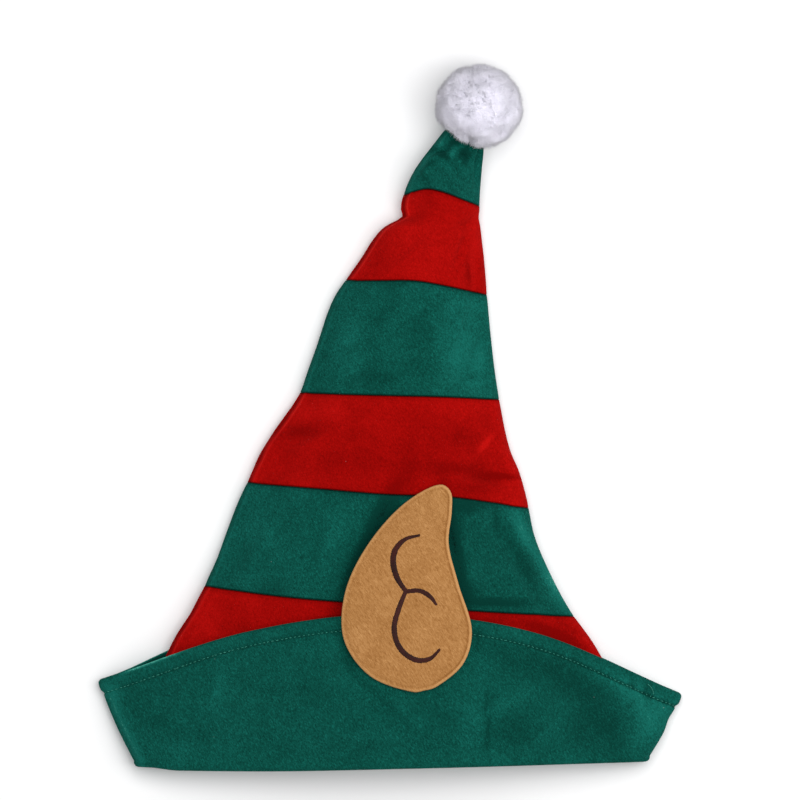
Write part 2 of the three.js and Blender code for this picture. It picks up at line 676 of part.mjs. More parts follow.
// The pompom: a head with locks all over, hollowed where the tip of the crown goes in
function pompom() {
  const radius = POMPOM_DIAMETER / 2;
  const parts = [solidOf(new THREE.IcosahedronGeometry(HEAD_SHARE * radius, 1))];
  const spin = Math.PI * (3 - Math.sqrt(5));
  for (let i = 0; i < LOCK_COUNT; i++) {
    const z = 1 - (2 * i + 1) / LOCK_COUNT;
    const flat = Math.sqrt(1 - z * z);
    const direction = new THREE.Vector3(flat * Math.cos(i * spin), flat * Math.sin(i * spin), z);
    const turn = new THREE.Quaternion().setFromUnitVectors(new THREE.Vector3(0, 1, 0), direction);
    parts.push(solidOf(lockGeometry(radius).applyQuaternion(turn)));
  }
  const tipMiddle = ((crown.left(1) + crown.right(1)) / 2) * HALF_MOUTH;
  const centre = new THREE.Vector3(tipMiddle + POMPOM_ASIDE, CROWN_HEIGHT + POMPOM_PAST, radius);
  const ball = joined(parts).translate([centre.x, centre.y, centre.z]);
  return namedMesh("pompom", geometryOf(ball.subtract(tipSocket())), materialOf(WHITE));
}

// The tip of the crown as a solid, larger all round by the gap between pieces
const tipSocket = () => solidOf(stackGeometry(bandRings(BANDS.length - 1, -PIECE_GAP).slice(1)));

// The whole hat, moved so that the origin is under the middle of its outer box
function elfHat() {
  const hat = new THREE.Group();
  hat.add(...crownBands(), brim(), ...ears(), pompom());
  const box = new THREE.Box3().setFromObject(hat, true);
  const middle = box.getCenter(new THREE.Vector3());
  hat.position.set(-middle.x, -middle.y, -box.min.z);
  return hat;
}

export default elfHat();
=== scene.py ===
"""A striped felt elf hat that lies on its side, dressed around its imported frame.

The crown is six sewn felt bands, the brim is one felt piece turned up and hemmed, each side carries a felt
ear with satin-stitched lines, and a plush pompom sits on the tip. Everything is in metres.
"""

import logging
import math
from dataclasses import dataclass, field
from enum import Enum
from typing import Callable, Sequence

import bmesh
import bpy
import numpy as np
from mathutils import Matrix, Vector, noise


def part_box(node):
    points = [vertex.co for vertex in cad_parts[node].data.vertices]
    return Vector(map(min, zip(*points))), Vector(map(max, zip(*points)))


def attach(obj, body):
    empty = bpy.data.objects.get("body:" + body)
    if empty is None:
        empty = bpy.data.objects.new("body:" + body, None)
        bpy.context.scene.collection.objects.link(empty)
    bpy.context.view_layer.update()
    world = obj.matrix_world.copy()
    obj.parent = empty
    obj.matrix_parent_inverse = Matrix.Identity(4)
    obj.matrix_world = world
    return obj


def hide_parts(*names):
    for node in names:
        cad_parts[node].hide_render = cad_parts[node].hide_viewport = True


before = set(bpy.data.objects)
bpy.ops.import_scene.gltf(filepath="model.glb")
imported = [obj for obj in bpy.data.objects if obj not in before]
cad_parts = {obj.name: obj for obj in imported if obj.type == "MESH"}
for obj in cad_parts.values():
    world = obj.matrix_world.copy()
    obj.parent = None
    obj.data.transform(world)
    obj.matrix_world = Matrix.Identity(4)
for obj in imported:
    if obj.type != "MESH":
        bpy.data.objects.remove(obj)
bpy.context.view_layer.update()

log = logging.getLogger("elf_hat")

Curve = Callable[[np.ndarray], np.ndarray]
MM = 0.001


class Slot(Enum):
    """The record's material slots."""

    GREEN = "felt_green"
    RED = "felt_red"
    TAN = "felt_tan"
    BROWN = "thread_brown"
    WHITE = "plush_white"


class Side(Enum):
    """Which side of the lying hat a piece is on."""

    UPPER = "upper"
    UNDER = "under"


@dataclass(frozen=True)
class Section:
    """One section of the crown, as shares of the crown's own sizes."""

    rise: float
    left: float
    right: float
    depth: float
    lift: float


@dataclass(frozen=True)
class Fold:
    """A soft fold in the upper layer, or a dent where its height is below zero; in the painted light tables, a
    patch of painted light, or of painted shade where its height is below zero.
    """

    across: float
    up: float
    run: float
    spread: float
    turn: float
    height: float


def folds(*rows: tuple[float, ...]) -> tuple[Fold, ...]:
    """Folds from rows of their across, up, run, spread, turn and height."""
    return tuple(Fold(*row) for row in rows)


@dataclass(frozen=True)
class Line:
    """A line across the hat, by its height at five places from left to right."""

    left: float
    left_middle: float
    middle: float
    right_middle: float
    right: float

    def curve(self) -> Curve:
        """The line's height as a smooth function of s, from -1 at the left to 1 at the right."""
        heights = (self.left, self.left_middle, self.middle, self.right_middle, self.right)
        return smooth_through((-1, -0.5, 0, 0.5, 1), heights)


@dataclass(frozen=True)
class StrokePoint:
    """A point of an embroidered stroke, as shares of the ear's width and height and of the widest stroke."""

    across: float
    up: float
    width: float


CROWN_SECTIONS = tuple(Section(*row) for row in (
    (0, -1.004, 1.013, 1, 0), (0.062, -0.972, 0.975, 1, 0), (0.124, -0.94, 0.903, 0.99, 0),
    (0.193, -0.878, 0.807, 0.97, 0), (0.248, -0.791, 0.707, 0.96, 0), (0.304, -0.719, 0.63, 0.94, 0),
    (0.36, -0.662, 0.57, 0.92, 0), (0.416, -0.606, 0.54, 0.88, 0), (0.462, -0.553, 0.506, 0.858, 0),
    (0.491, -0.518, 0.474, 0.84, 0), (0.578, -0.369, 0.426, 0.79, 0), (0.616, -0.333, 0.411, 0.774, 0),
    (0.677, -0.277, 0.393, 0.75, 0), (0.73, -0.225, 0.381, 0.73, 0), (0.786, -0.124, 0.369, 0.72, 0.01),
    (0.82, -0.068, 0.359, 0.72, 0.025), (0.839, -0.02, 0.353, 0.68, 0.04), (0.853, 0.046, 0.347, 0.6, 0.06),
    (0.864, 0.042, 0.351, 0.62, 0.075), (0.882, 0.046, 0.351, 0.62, 0.1), (0.926, 0.096, 0.359, 0.56, 0.16),
    (0.963, 0.165, 0.365, 0.48, 0.22), (1, 0.245, 0.335, 0.36, 0.28),
))
FOLD_LINE = Line(-0.002, -0.0025, 0.0015, 0.006, 0.0105)
SEAM_LINES = (
    Line(0.283, 0.266, 0.255, 0.245, 0.236),
    Line(0.443, 0.434, 0.425, 0.42, 0.403),
    Line(0.582, 0.579, 0.577, 0.575, 0.571),
    Line(0.756, 0.755, 0.754, 0.745, 0.733),
    Line(0.888, 0.896, 0.8912, 0.8812, 0.87),
)
BRIM_EDGE = Line(0.583, 0.886, 1, 0.883, 0.497)

# The crown's main folds and dents, then the finer creases that only show close up
CROWN_FOLDS = folds(
    (0.56, 0.335, 0.075, 0.026, -62, 0.1), (0.46, 0.36, 0.07, 0.022, -70, -0.09),
    (0.41, 0.475, 0.04, 0.022, 35, -0.08), (0.34, 0.63, 0.05, 0.024, 60, -0.07),
    (-0.4, 0.48, 0.04, 0.024, 10, -0.07), (0.33, 0.745, 0.05, 0.014, 84, -0.08),
    (0.04, 0.842, 0.025, 0.012, 32, 0.09), (0.09, 0.862, 0.025, 0.012, 32, -0.12),
)
FINE_CREASES = folds(
    (0.3, 0.945, 0.012, 0.005, -35, -0.06), (0.2, 0.957, 0.014, 0.006, 12, -0.06),
    (0.35, 0.935, 0.03, 0.004, 82, -0.05), (0.24, 0.915, 0.03, 0.005, -40, 0.03),
    (0.15, 0.93, 0.02, 0.006, 60, 0.03), (0.28, 0.8, 0.03, 0.006, 70, -0.03),
    (0.3, 0.84, 0.02, 0.006, 20, -0.04), (0.1, 0.8, 0.04, 0.008, 40, 0.03),
    (0.26, 0.68, 0.05, 0.008, 72, 0.03), (0.35, 0.65, 0.04, 0.007, 58, -0.03),
    (-0.12, 0.62, 0.04, 0.01, 30, -0.02), (0.44, 0.49, 0.03, 0.007, 40, 0.04),
    (0.38, 0.45, 0.04, 0.006, -12, -0.04), (-0.33, 0.5, 0.03, 0.008, 25, 0.03),
    (-0.2, 0.44, 0.05, 0.01, 5, 0.02), (0.5, 0.29, 0.05, 0.007, -58, 0.04),
    (-0.55, 0.33, 0.04, 0.01, 60, 0.03), (-0.3, 0.36, 0.04, 0.01, 80, -0.02),
)
BRIM_FOLDS = folds(
    (0.38, 0.055, 0.1, 0.02, 92, -0.06), (0.03, 0.05, 0.06, 0.03, -40, -0.05),
    (0.85, 0.08, 0.06, 0.03, -60, -0.06),
)
BRIM_CREASES = folds(
    (0.375, 0.1, 0.1, 0.004, 91, -0.02), (0.36, 0.1, 0.1, 0.008, 91, 0.02),
    (0.02, 0.1, 0.06, 0.008, -48, 0.03), (0.1, 0.11, 0.05, 0.007, -42, -0.03),
    (0.62, 0.1, 0.05, 0.01, 84, 0.03), (0.78, 0.09, 0.05, 0.009, -64, -0.03),
    (0.95, 0.12, 0.04, 0.01, 60, 0.03), (-0.5, 0.12, 0.05, 0.01, 66, -0.02),
    (-0.86, 0.1, 0.05, 0.01, 58, 0.03),
)

# Painted light and shade on the felt, brightness as the height: the ear's and the brim's painted shadows,
# painted shade in creases, painted light on the lit sides, and partly the nap's own lie
CROWN_PAINTED_LIGHT = folds(
    # The lowest red and green bands
    (-0.74, 0.24, 0.03, 0.02, 50, 0.35), (0.775, 0.2, 0.03, 0.012, -45, 0.6),
    (-0.094, 0.347, 0.085, 0.011, 64, -2.2), (-0.11, 0.35, 0.09, 0.026, 64, -0.4),
    (0.27, 0.338, 0.078, 0.008, 99, -1.2), (0.42, 0.381, 0.02, 0.0055, 92, -0.8),
    (0.531, 0.3615, 0.05, 0.009, -56, 0.8), (0.639, 0.292, 0.03, 0.015, -57, 0.5),
    (0.615, 0.323, 0.054, 0.018, -60, 0.4), (0.483, 0.346, 0.025, 0.009, -62, -0.6),
    (-0.56, 0.385, 0.045, 0.03, 60, 0.2), (0.383, 0.323, 0.077, 0.031, -69, -0.4),
    (0.35, 0.408, 0.025, 0.009, -5, -0.9), (-0.024, 0.403, 0.028, 0.014, 45, -1.4),
    (0.248, 0.35, 0.077, 0.007, -80, -2.3), (0.28, 0.405, 0.02, 0.013, 0, -1.3),
    (0.305, 0.274, 0.02, 0.018, 0, -1.2), (0.4, 0.258, 0.055, 0.0055, -2, -2.2),
    (0.65, 0.207, 0.05, 0.01, -24, -2.0), (0.545, 0.308, 0.032, 0.015, -60, -1.0),
    (0.66, 0.282, 0.04, 0.011, -62, 1.3), (0.515, 0.385, 0.04, 0.009, -75, 0.8),
    (0.72, 0.215, 0.03, 0.012, -30, -0.8), (-0.22, 0.36, 0.05, 0.01, 88, 0.2),
    (-0.315, 0.39, 0.03, 0.008, 88, -0.3), (-0.48, 0.28, 0.02, 0.01, 10, -0.4),
    (0.4, 0.23, 0.04, 0.01, -8, -0.8),
    # The middle red band
    (0.076, 0.508, 0.1, 0.046, 0, -0.5), (0.315, 0.434, 0.034, 0.014, 0, -0.9),
    (0.06, 0.44, 0.05, 0.013, 0, -0.5), (-0.38, 0.555, 0.05, 0.018, 0, 0.35),
    (-0.25, 0.55, 0.04, 0.02, 0, 0.3), (-0.2, 0.475, 0.035, 0.018, 10, -0.5),
    (0.27, 0.463, 0.05, 0.01, 0, -0.9), (0.42, 0.555, 0.03, 0.012, -80, 0.5),
    (-0.355, 0.522, 0.034, 0.011, 8, -0.9), (0.056, 0.47, 0.046, 0.018, 0, -0.45),
    (0.276, 0.514, 0.018, 0.009, 0, -0.5), (0.375, 0.502, 0.02, 0.0045, 50, 1.5),
    (0.439, 0.453, 0.025, 0.004, -5, -2.2), (0.483, 0.477, 0.04, 0.009, -70, 0.5),
    # The middle green band
    (0.296, 0.647, 0.07, 0.03, 85, 0.75), (0.3, 0.718, 0.03, 0.009, 0, 0.35),
    (0.327, 0.6055, 0.018, 0.006, 10, -0.6), (-0.164, 0.67, 0.023, 0.014, 60, 0.5),
    (-0.224, 0.647, 0.016, 0.005, 70, 0.35), (-0.232, 0.709, 0.03, 0.008, 60, -0.45),
    (0.056, 0.663, 0.07, 0.038, 80, -0.2), (-0.144, 0.624, 0.02, 0.016, 0, 0.45),
    (0.0, 0.747, 0.02, 0.008, 0, -0.6), (-0.024, 0.706, 0.035, 0.015, 60, -0.6),
    (0.15, 0.68, 0.03, 0.02, 60, -0.3), (-0.044, 0.604, 0.03, 0.015, 0, -0.5),
    (0.355, 0.63, 0.03, 0.008, 80, 0.7), (0.25, 0.632, 0.02, 0.014, 60, 0.4),
    # The upper red band and the tip
    (0.13, 0.81, 0.08, 0.08, 0, 0.3), (0.25, 0.968, 0.007, 0.004, 20, -2.2),
    (0.215, 0.946, 0.01, 0.0045, -35, -1.6), (0.29, 0.953, 0.012, 0.0045, 50, -1.6),
    (0.2, 0.967, 0.008, 0.004, 60, 0.9), (0.24, 0.951, 0.01, 0.004, 70, 0.8),
    (0.165, 0.935, 0.012, 0.004, 35, -1.2), (0.26, 0.925, 0.016, 0.005, -60, -0.8),
    (0.333, 0.794, 0.06, 0.009, 88, 0.6), (0.3075, 0.763, 0.02, 0.0035, 95, -1.1),
    (-0.036, 0.794, 0.03, 0.016, 60, -0.3), (-0.136, 0.774, 0.013, 0.006, 50, 0.4),
    (0.052, 0.867, 0.014, 0.009, 30, 0.6), (0.1, 0.866, 0.014, 0.008, 30, 0.2),
    (0.184, 0.953, 0.012, 0.005, -20, -0.9), (0.3035, 0.942, 0.014, 0.006, 60, -0.8),
    (0.136, 0.913, 0.016, 0.005, -60, -0.6), (0.345, 0.935, 0.03, 0.003, 87, 0.5),
    (0.24, 0.93, 0.02, 0.01, -30, 0.3),
)
# Painted light and shade on the brim, brightness as the height: lighter ends, painted shade in its middle and
# the ear's painted shadow beside it
BRIM_PAINTED_LIGHT = folds(
    (1.04, 0.085, 0.06, 0.026, 62, 0.85), (0.96, 0.118, 0.07, 0.014, -30, 0.9),
    (0.04, 0.1, 0.4, 0.12, 0, -0.15), (0.615, 0.156, 0.07, 0.025, -20, -0.9),
    (0.495, 0.052, 0.031, 0.028, 0, -0.8), (0.867, 0.068, 0.06, 0.026, -58, -1.0),
    (0.76, 0.06, 0.035, 0.022, -60, -0.5), (1.014, 0.088, 0.04, 0.012, -60, 0.5),
    (1.03, 0.107, 0.018, 0.014, 60, -0.8), (0.635, 0.06, 0.028, 0.015, 45, 0.4),
    (-0.176, 0.178, 0.045, 0.008, -68, -1.1), (-0.08, 0.13, 0.03, 0.008, -45, -0.5),
    (0.345, 0.207, 0.02, 0.006, 90, -0.9), (-1.12, 0.12, 0.03, 0.02, 40, 0.5),
    (0.46, 0.105, 0.04, 0.01, 40, 0.4), (0.315, 0.06, 0.05, 0.02, 75, 0.4),
    (0.383, 0.063, 0.05, 0.0035, 91, -0.9), (0.09, 0.075, 0.05, 0.005, -42, 0.5),
    (0.115, 0.063, 0.05, 0.005, -42, -0.3), (-0.69, 0.12, 0.026, 0.007, 80, 0.5),
    (-0.84, 0.03, 0.02, 0.014, 50, 0.4), (-1.075, 0.063, 0.08, 0.013, -67, 0.9),
)

# The outline of the ear, clockwise from its tip
EAR_OUTLINE = (
    (0.751, 1), (0.839, 0.966), (0.847, 0.869), (0.823, 0.719), (0.897, 0.526), (1, 0.301), (0.936, 0.141),
    (0.732, 0.03), (0.64, 0.0115), (0.545, 0.0045), (0.221, 0.08), (0.022, 0.253), (0.028, 0.478),
    (0.194, 0.703), (0.476, 0.906),
)
EAR_HEART = (0.53, 0.44)
STROKES = (
    (
        StrokePoint(0.601, 0.757, 0.42), StrokePoint(0.489, 0.737, 0.72), StrokePoint(0.413, 0.685, 1),
        StrokePoint(0.398, 0.626, 1), StrokePoint(0.428, 0.553, 0.92), StrokePoint(0.495, 0.488, 0.75),
    ),
    (
        StrokePoint(0.49, 0.487, 0.75), StrokePoint(0.604, 0.49, 0.82), StrokePoint(0.681, 0.462, 0.74),
        StrokePoint(0.729, 0.423, 0.42),
    ),
    (
        StrokePoint(0.495, 0.49, 0.7), StrokePoint(0.437, 0.397, 0.88), StrokePoint(0.406, 0.317, 0.95),
        StrokePoint(0.425, 0.245, 0.95), StrokePoint(0.489, 0.188, 1), StrokePoint(0.591, 0.156, 0.9),
        StrokePoint(0.681, 0.165, 0.74), StrokePoint(0.755, 0.209, 0.42),
    ),
)


def smooth_through(knots: Sequence[float], values: Sequence[float]) -> Curve:
    """A smooth function through values at knots, flat past both ends.

    Args:
        knots: Where the values are, rising.
        values: The value at each knot.

    Returns:
        A function that reads an array of places.
    """
    t, v = np.asarray(knots, float), np.asarray(values, float)
    slope = np.diff(v) / np.diff(t)
    tangent = np.concatenate(([slope[0]], (slope[1:] + slope[:-1]) / 2, [slope[-1]]))

    def at(x: np.ndarray) -> np.ndarray:
        """The value at each place of x."""
        x = np.clip(np.asarray(x, float), t[0], t[-1])
        i = np.clip(np.searchsorted(t, x, side="right") - 1, 0, len(t) - 2)
        span = t[i + 1] - t[i]
        p = (x - t[i]) / span
        start = (1 + 2 * p) * (1 - p) ** 2 * v[i] + p * (1 - p) ** 2 * span * tangent[i]
        return start + p * p * (3 - 2 * p) * v[i + 1] + p * p * (p - 1) * span * tangent[i + 1]

    return at


def smoothstep(x: np.ndarray, low: float, high: float) -> np.ndarray:
    """0 below low, 1 above high, smooth between."""
    p = np.clip((np.asarray(x, float) - low) / (high - low), 0, 1)
    return p * p * (3 - 2 * p)


def bump(distance: np.ndarray, width: float) -> np.ndarray:
    """A round bump of height 1 at distance 0."""
    return np.exp(-((distance / width) ** 2))


def unit(vectors: np.ndarray) -> np.ndarray:
    """Vectors at length 1."""
    return vectors / np.maximum(np.linalg.norm(vectors, axis=-1, keepdims=True), 1e-12)


def soft_noise(points: np.ndarray, size: float, seed: float) -> np.ndarray:
    """Smooth noise of about -1 to 1 at each point.

    Args:
        points: Any array of points, in metres.
        size: How large its lumps are.
        seed: Shifts the noise, so that two pieces differ.

    Returns:
        One value for each point.
    """
    flat = points.reshape(-1, 3) / size + seed
    values = [noise.noise(Vector(p)) for p in flat]
    return np.array(values).reshape(points.shape[:-1])


@dataclass(frozen=True)
class Drift:
    """Soft noise of one strength, lump size and seed, squashed along the axes."""

    strength: float
    size: float
    seed: float
    squash: tuple[float, float, float] = (1, 1, 1)

    def at(self, points: np.ndarray) -> np.ndarray:
        """The noise at each point."""
        return self.strength * soft_noise(points * self.squash, self.size, self.seed)


def sheet_size(points: np.ndarray) -> tuple[float, float, float]:
    """The girth, length and area of a felt ring, from rows of points round it."""
    across = np.linalg.norm(np.roll(points, -1, axis=1) - points, axis=-1)
    along = np.linalg.norm(np.diff(points, axis=0), axis=-1)
    area = float((along * across[:-1]).sum())
    return float(across.sum(axis=1).max()), float(along.sum(axis=0).max()), area


def linear(red: int, green: int, blue: int) -> tuple[float, float, float, float]:
    """A display colour from 0 to 255 as the shader's own linear colour."""
    shares = [c / 255 for c in (red, green, blue)]
    low = [c / 12.92 if c <= 0.04045 else ((c + 0.055) / 1.055) ** 2.4 for c in shares]
    return (low[0], low[1], low[2], 1.0)


@dataclass(frozen=True)
class Ring:
    """Places round a flattened section: flat across it, and turn, 90 on the upper layer to -90 below."""

    flat: np.ndarray
    turn: np.ndarray

    @classmethod
    def of(cls, front: int, back: int, crease: int) -> "Ring":
        """A ring with that many steps on its upper layer, lower layer and each side crease."""
        bend = 90 - 180 * np.arange(1, crease) / crease
        flat = [np.linspace(-1, 1, front + 1), np.ones(crease - 1)]
        flat += [np.linspace(1, -1, back + 1), -np.ones(crease - 1)]
        turn = [np.full(front + 1, 90.0), bend, np.full(back + 1, -90.0), -bend]
        return cls(np.concatenate(flat), np.concatenate(turn))

    def __len__(self) -> int:
        """How many places it has."""
        return len(self.flat)

    @property
    def end_side(self) -> np.ndarray:
        """-1 on the left crease, 1 on the right one, 0 between them."""
        return np.where(np.abs(self.flat) == 1, np.sign(self.flat), 0)

    @property
    def end_pull(self) -> np.ndarray:
        """-1 on the left crease and 1 on the right one, fading out within a small share of the width."""
        return np.sign(self.flat) * bump(1 - np.abs(self.flat), 0.03)

    @property
    def ledge(self) -> np.ndarray:
        """How far the upper layer's seamed edge lies back on the left crease, where the lower one shows."""
        back = smoothstep(self.turn, 4, 24) * (1 - smoothstep(self.turn, 62, 90))
        return np.where(self.end_side < 0, back, 0)

    @property
    def left_edge_painted_light(self) -> np.ndarray:
        """A painted highlight along the left crease's ridge, and a painted shadow line outside it."""
        shade = 2.6 * bump(self.turn - 72, 15) - 2.4 * bump(self.turn - 24, 14)
        return np.where((self.end_side < 0) & (self.turn > 0), shade, 0)

    def rolled(self, by: int) -> "Ring":
        """The same ring with each place moved on by some steps."""
        return Ring(np.roll(self.flat, -by), np.roll(self.turn, -by))


@dataclass
class HatForm:
    """The felt surfaces of the lying hat, from the same sizes as its frame."""

    felt: float = 1.5 * MM
    piece_gap: float = 0.3 * MM
    under_gap: float = 1 * MM
    crown_height: float = 364.5 * MM
    mouth_width: float = 282 * MM
    crown_depth: float = 30 * MM
    crown_crease: float = 8 * MM
    lip_height: float = 12 * MM
    bow_power: float = 2.2
    settle_rise: float = 1.6
    brim_height: float = 87.7 * MM
    brim_width: float = 329 * MM
    brim_shift: float = -0.7 * MM
    brim_belly: float = 1.2 * MM
    brim_dent: float = 1.3 * MM
    brim_crease: float = 7 * MM
    brim_stand: float = 2 * MM
    back_rise: float = 3.3 * MM
    corner_rise: float = 1.6 * MM
    hem_depth: float = 8.2 * MM
    hem_puff: float = 1.2 * MM
    ear_height: float = 116.8 * MM
    ear_width: float = 73.4 * MM
    ear_thickness: float = 3.2 * MM
    ear_right: float = 8.5 * MM
    ear_up: float = 101.9 * MM
    thread_proud: float = 0.4 * MM
    pompom_diameter: float = 49 * MM
    fuzz: float = 0.3 * MM
    curves: dict[str, Curve] = field(init=False)
    fold_line: Curve = field(init=False)
    seams: list[Curve] = field(init=False)
    brim_edge: Curve = field(init=False)
    origin: np.ndarray = field(init=False)

    def __post_init__(self) -> None:
        """Works out the curves, and where the middle of the mouth lies in the frame."""
        rises = [row.rise for row in CROWN_SECTIONS]
        names = ("left", "right", "depth", "lift")
        self.curves = {n: smooth_through(rises, [getattr(r, n) for r in CROWN_SECTIONS]) for n in names}
        self.fold_line = FOLD_LINE.curve()
        self.seams = [line.curve() for line in SEAM_LINES]
        self.brim_edge = BRIM_EDGE.curve()
        brim_low, brim_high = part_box("brim")
        tip_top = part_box("tip_band")[1]
        across = (brim_low.x + brim_high.x) / 2 - self.brim_shift
        self.origin = np.array([across, tip_top.y - self.crown_height, brim_low.z])

    @property
    def under_stack(self) -> float:
        """The hem, and the room between it and the crown's lower layer."""
        return 2 * self.felt + self.under_gap

    @property
    def cuff_gap(self) -> float:
        """Room between the crown and the turned-up brim."""
        return self.under_stack - self.felt

    @property
    def fold_radius(self) -> float:
        """The outside of the fold that turns the brim up."""
        return self.felt + self.cuff_gap / 2

    @property
    def ear_stack(self) -> float:
        """The underside ear with its embroidery."""
        return self.ear_thickness + self.thread_proud

    def bow(self, s: np.ndarray) -> np.ndarray:
        """How far the upper layer bows up, as a share of the section's full bow."""
        return 1 - np.clip(np.abs(s), 0, 1) ** self.bow_power

    def ear_distance(self, x: np.ndarray, y: np.ndarray) -> np.ndarray:
        """How far places lie from the ear's middle: 1 on the ellipse that fills its box."""
        across = (x - self.ear_right) / (self.ear_width / 2)
        along = (y - self.ear_up) / (self.ear_height / 2)
        return np.hypot(across, along)

    def ear_lift(self, x: np.ndarray, y: np.ndarray) -> np.ndarray:
        """How far the hat is lifted where the underside ear lies below it."""
        return (self.ear_stack + self.piece_gap) * (1 - smoothstep(self.ear_distance(x, y), 1.35, 3))

    def ear_free(self, x: np.ndarray, y: np.ndarray) -> np.ndarray:
        """0 where the upper ear lies on the hat, 1 well clear of it."""
        return smoothstep(self.ear_distance(x, y), 0.85, 1.2)

    def folds_at(self, folds: Sequence[Fold], x: np.ndarray, y: np.ndarray) -> np.ndarray:
        """The height of soft folds at places of the upper layer."""
        return self.crown_depth * self.bumps_at(folds, x, y)

    def bumps_at(self, folds: Sequence[Fold], x: np.ndarray, y: np.ndarray) -> np.ndarray:
        """The sum of soft bumps at places of the upper layer."""
        height = np.zeros(np.broadcast(x, y).shape)
        for fold in folds:
            dx = x - fold.across * self.mouth_width / 2
            dy = y - fold.up * self.crown_height
            c, s = math.cos(math.radians(fold.turn)), math.sin(math.radians(fold.turn))
            along = (dx * c + dy * s) / (fold.run * self.crown_height)
            beside = (dy * c - dx * s) / (fold.spread * self.crown_height)
            height = height + fold.height * np.exp(-along * along - beside * beside)
        return height

    def crown_section(self, y: np.ndarray) -> dict[str, np.ndarray]:
        """The crown's sides, depth, crease and lift at heights above the mouth."""
        rise = y / self.crown_height
        settle = 1 - smoothstep(y, self.brim_height, self.settle_rise * self.brim_height)
        depth = self.curves["depth"](rise) * self.crown_depth
        left = self.curves["left"](rise) * self.mouth_width / 2 - self.fuzz
        right = self.curves["right"](rise) * self.mouth_width / 2 + self.fuzz
        crease = np.minimum(self.crown_crease, np.minimum(0.8 * depth, 0.6 * (right - left)))
        lift = self.curves["lift"](rise) * self.pompom_diameter + settle * self.under_stack
        return {"left": left, "right": right, "depth": depth, "crease": crease, "lift": lift}

    @staticmethod
    def share_across(section: dict, x: np.ndarray) -> np.ndarray:
        """How far x lies across a section, from -1 at its left to 1 at its right."""
        return (2 * x - section["left"] - section["right"]) / (section["right"] - section["left"])

    def section_point(self, section: dict, ring: Ring) -> tuple[np.ndarray, np.ndarray, np.ndarray]:
        """Points round a section.

        Args:
            section: Its left, right, depth, crease and lift.
            ring: The places round it.

        Returns:
            x, s across the section, and z.
        """
        middle = (section["left"] + section["right"]) / 2
        half = (section["right"] - section["left"]) / 2
        radius = section["crease"] / 2
        turn = np.radians(ring.turn)
        reach = ring.flat * (half - radius) + np.sign(ring.flat) * radius * np.cos(turn)
        s = reach / half
        raised = np.where(ring.turn > 0, (section["depth"] - section["crease"]) * self.bow(s), 0)
        return middle + reach, s, section["lift"] + radius + radius * np.sin(turn) + raised

    def crown_point(self, ring: Ring, y: np.ndarray) -> np.ndarray:
        """The crown's outer surface round a ring at heights above the mouth."""
        y = np.broadcast_to(y, ring.flat.shape) if np.ndim(y) == 0 else y
        x, s, z = self.section_point(self.crown_section(y), ring)
        fade = smoothstep(self.bow(s), 0, 0.35) * np.maximum(0, ring.turn / 90)
        z = z + fade * self.folds_at(CROWN_FOLDS, x, y) + self.ear_lift(x, y)
        return np.stack([x, np.broadcast_to(y, x.shape), z], axis=-1)

    def crown_normal(self, ring: Ring, y: np.ndarray, step: float = 1 * MM) -> np.ndarray:
        """Outward directions of the crown's surface."""
        across = self.crown_point(ring.rolled(1), y) - self.crown_point(ring.rolled(-1), y)
        along = self.crown_point(ring, y + step) - self.crown_point(ring, y - step)
        return unit(np.cross(across, along))

    def crown_face(self, x: np.ndarray, y: np.ndarray) -> np.ndarray:
        """The height of the crown's upper surface over points of the ground plane."""
        section = self.crown_section(y)
        bow = self.bow(self.share_across(section, x))
        raised = section["crease"] + (section["depth"] - section["crease"]) * bow
        return section["lift"] + raised + self.folds_at(CROWN_FOLDS, x, y) + self.ear_lift(x, y)

    def fold_height(self, ring: Ring) -> np.ndarray:
        """The height of the brim's fold round a ring, a little up at its left corner."""
        corner = self.corner_rise * smoothstep(-ring.flat, 0.86, 1)
        return self.fold_line(ring.flat) * self.crown_height + corner

    def seam_height(self, index: int, ring: Ring) -> np.ndarray:
        """The height of a band's lower edge: the lip, then each seam, then the tip."""
        if index == 0:
            return self.fold_height(ring) + self.lip_height
        if index > len(self.seams):
            return np.full(len(ring), self.crown_height)
        seam = self.seams[index - 1]
        section = self.crown_section(seam(ring.flat) * self.crown_height)
        across = self.section_point(section, ring)[1]
        return seam(across) * self.crown_height

    def brim_foot(self, ring: Ring) -> np.ndarray:
        """The brim's outer face just above its fold."""
        y = self.fold_height(ring) + self.fold_radius
        return self.crown_point(ring, y) + self.crown_normal(ring, y) * (self.felt + self.cuff_gap)

    def brim_crest(self, ring: Ring) -> np.ndarray:
        """The brim's outer face at its top edge."""
        half = self.brim_width / 2
        depth = self.crown_depth + self.under_stack + self.cuff_gap + self.felt + self.brim_stand
        section = {"left": self.brim_shift - half, "right": self.brim_shift + half, "depth": depth}
        section |= {"crease": self.brim_crease, "lift": 0}
        x, s, z = self.section_point(section, ring)
        under = np.maximum(0, -ring.turn / 90)
        showing = self.back_rise * smoothstep(1 + s, 0.04, 0.3) * (1 - smoothstep(1 + s, 0.5, 1.2))
        fall = self.brim_edge(ring.flat * 0.98) - self.brim_edge(ring.flat)
        fall = fall / (0.02 * half) * self.brim_crease / 2 * np.cos(np.radians(ring.turn))
        top = (self.brim_edge(ring.flat) - fall) * self.brim_height
        return np.stack([x, top + under * showing, z], axis=-1)

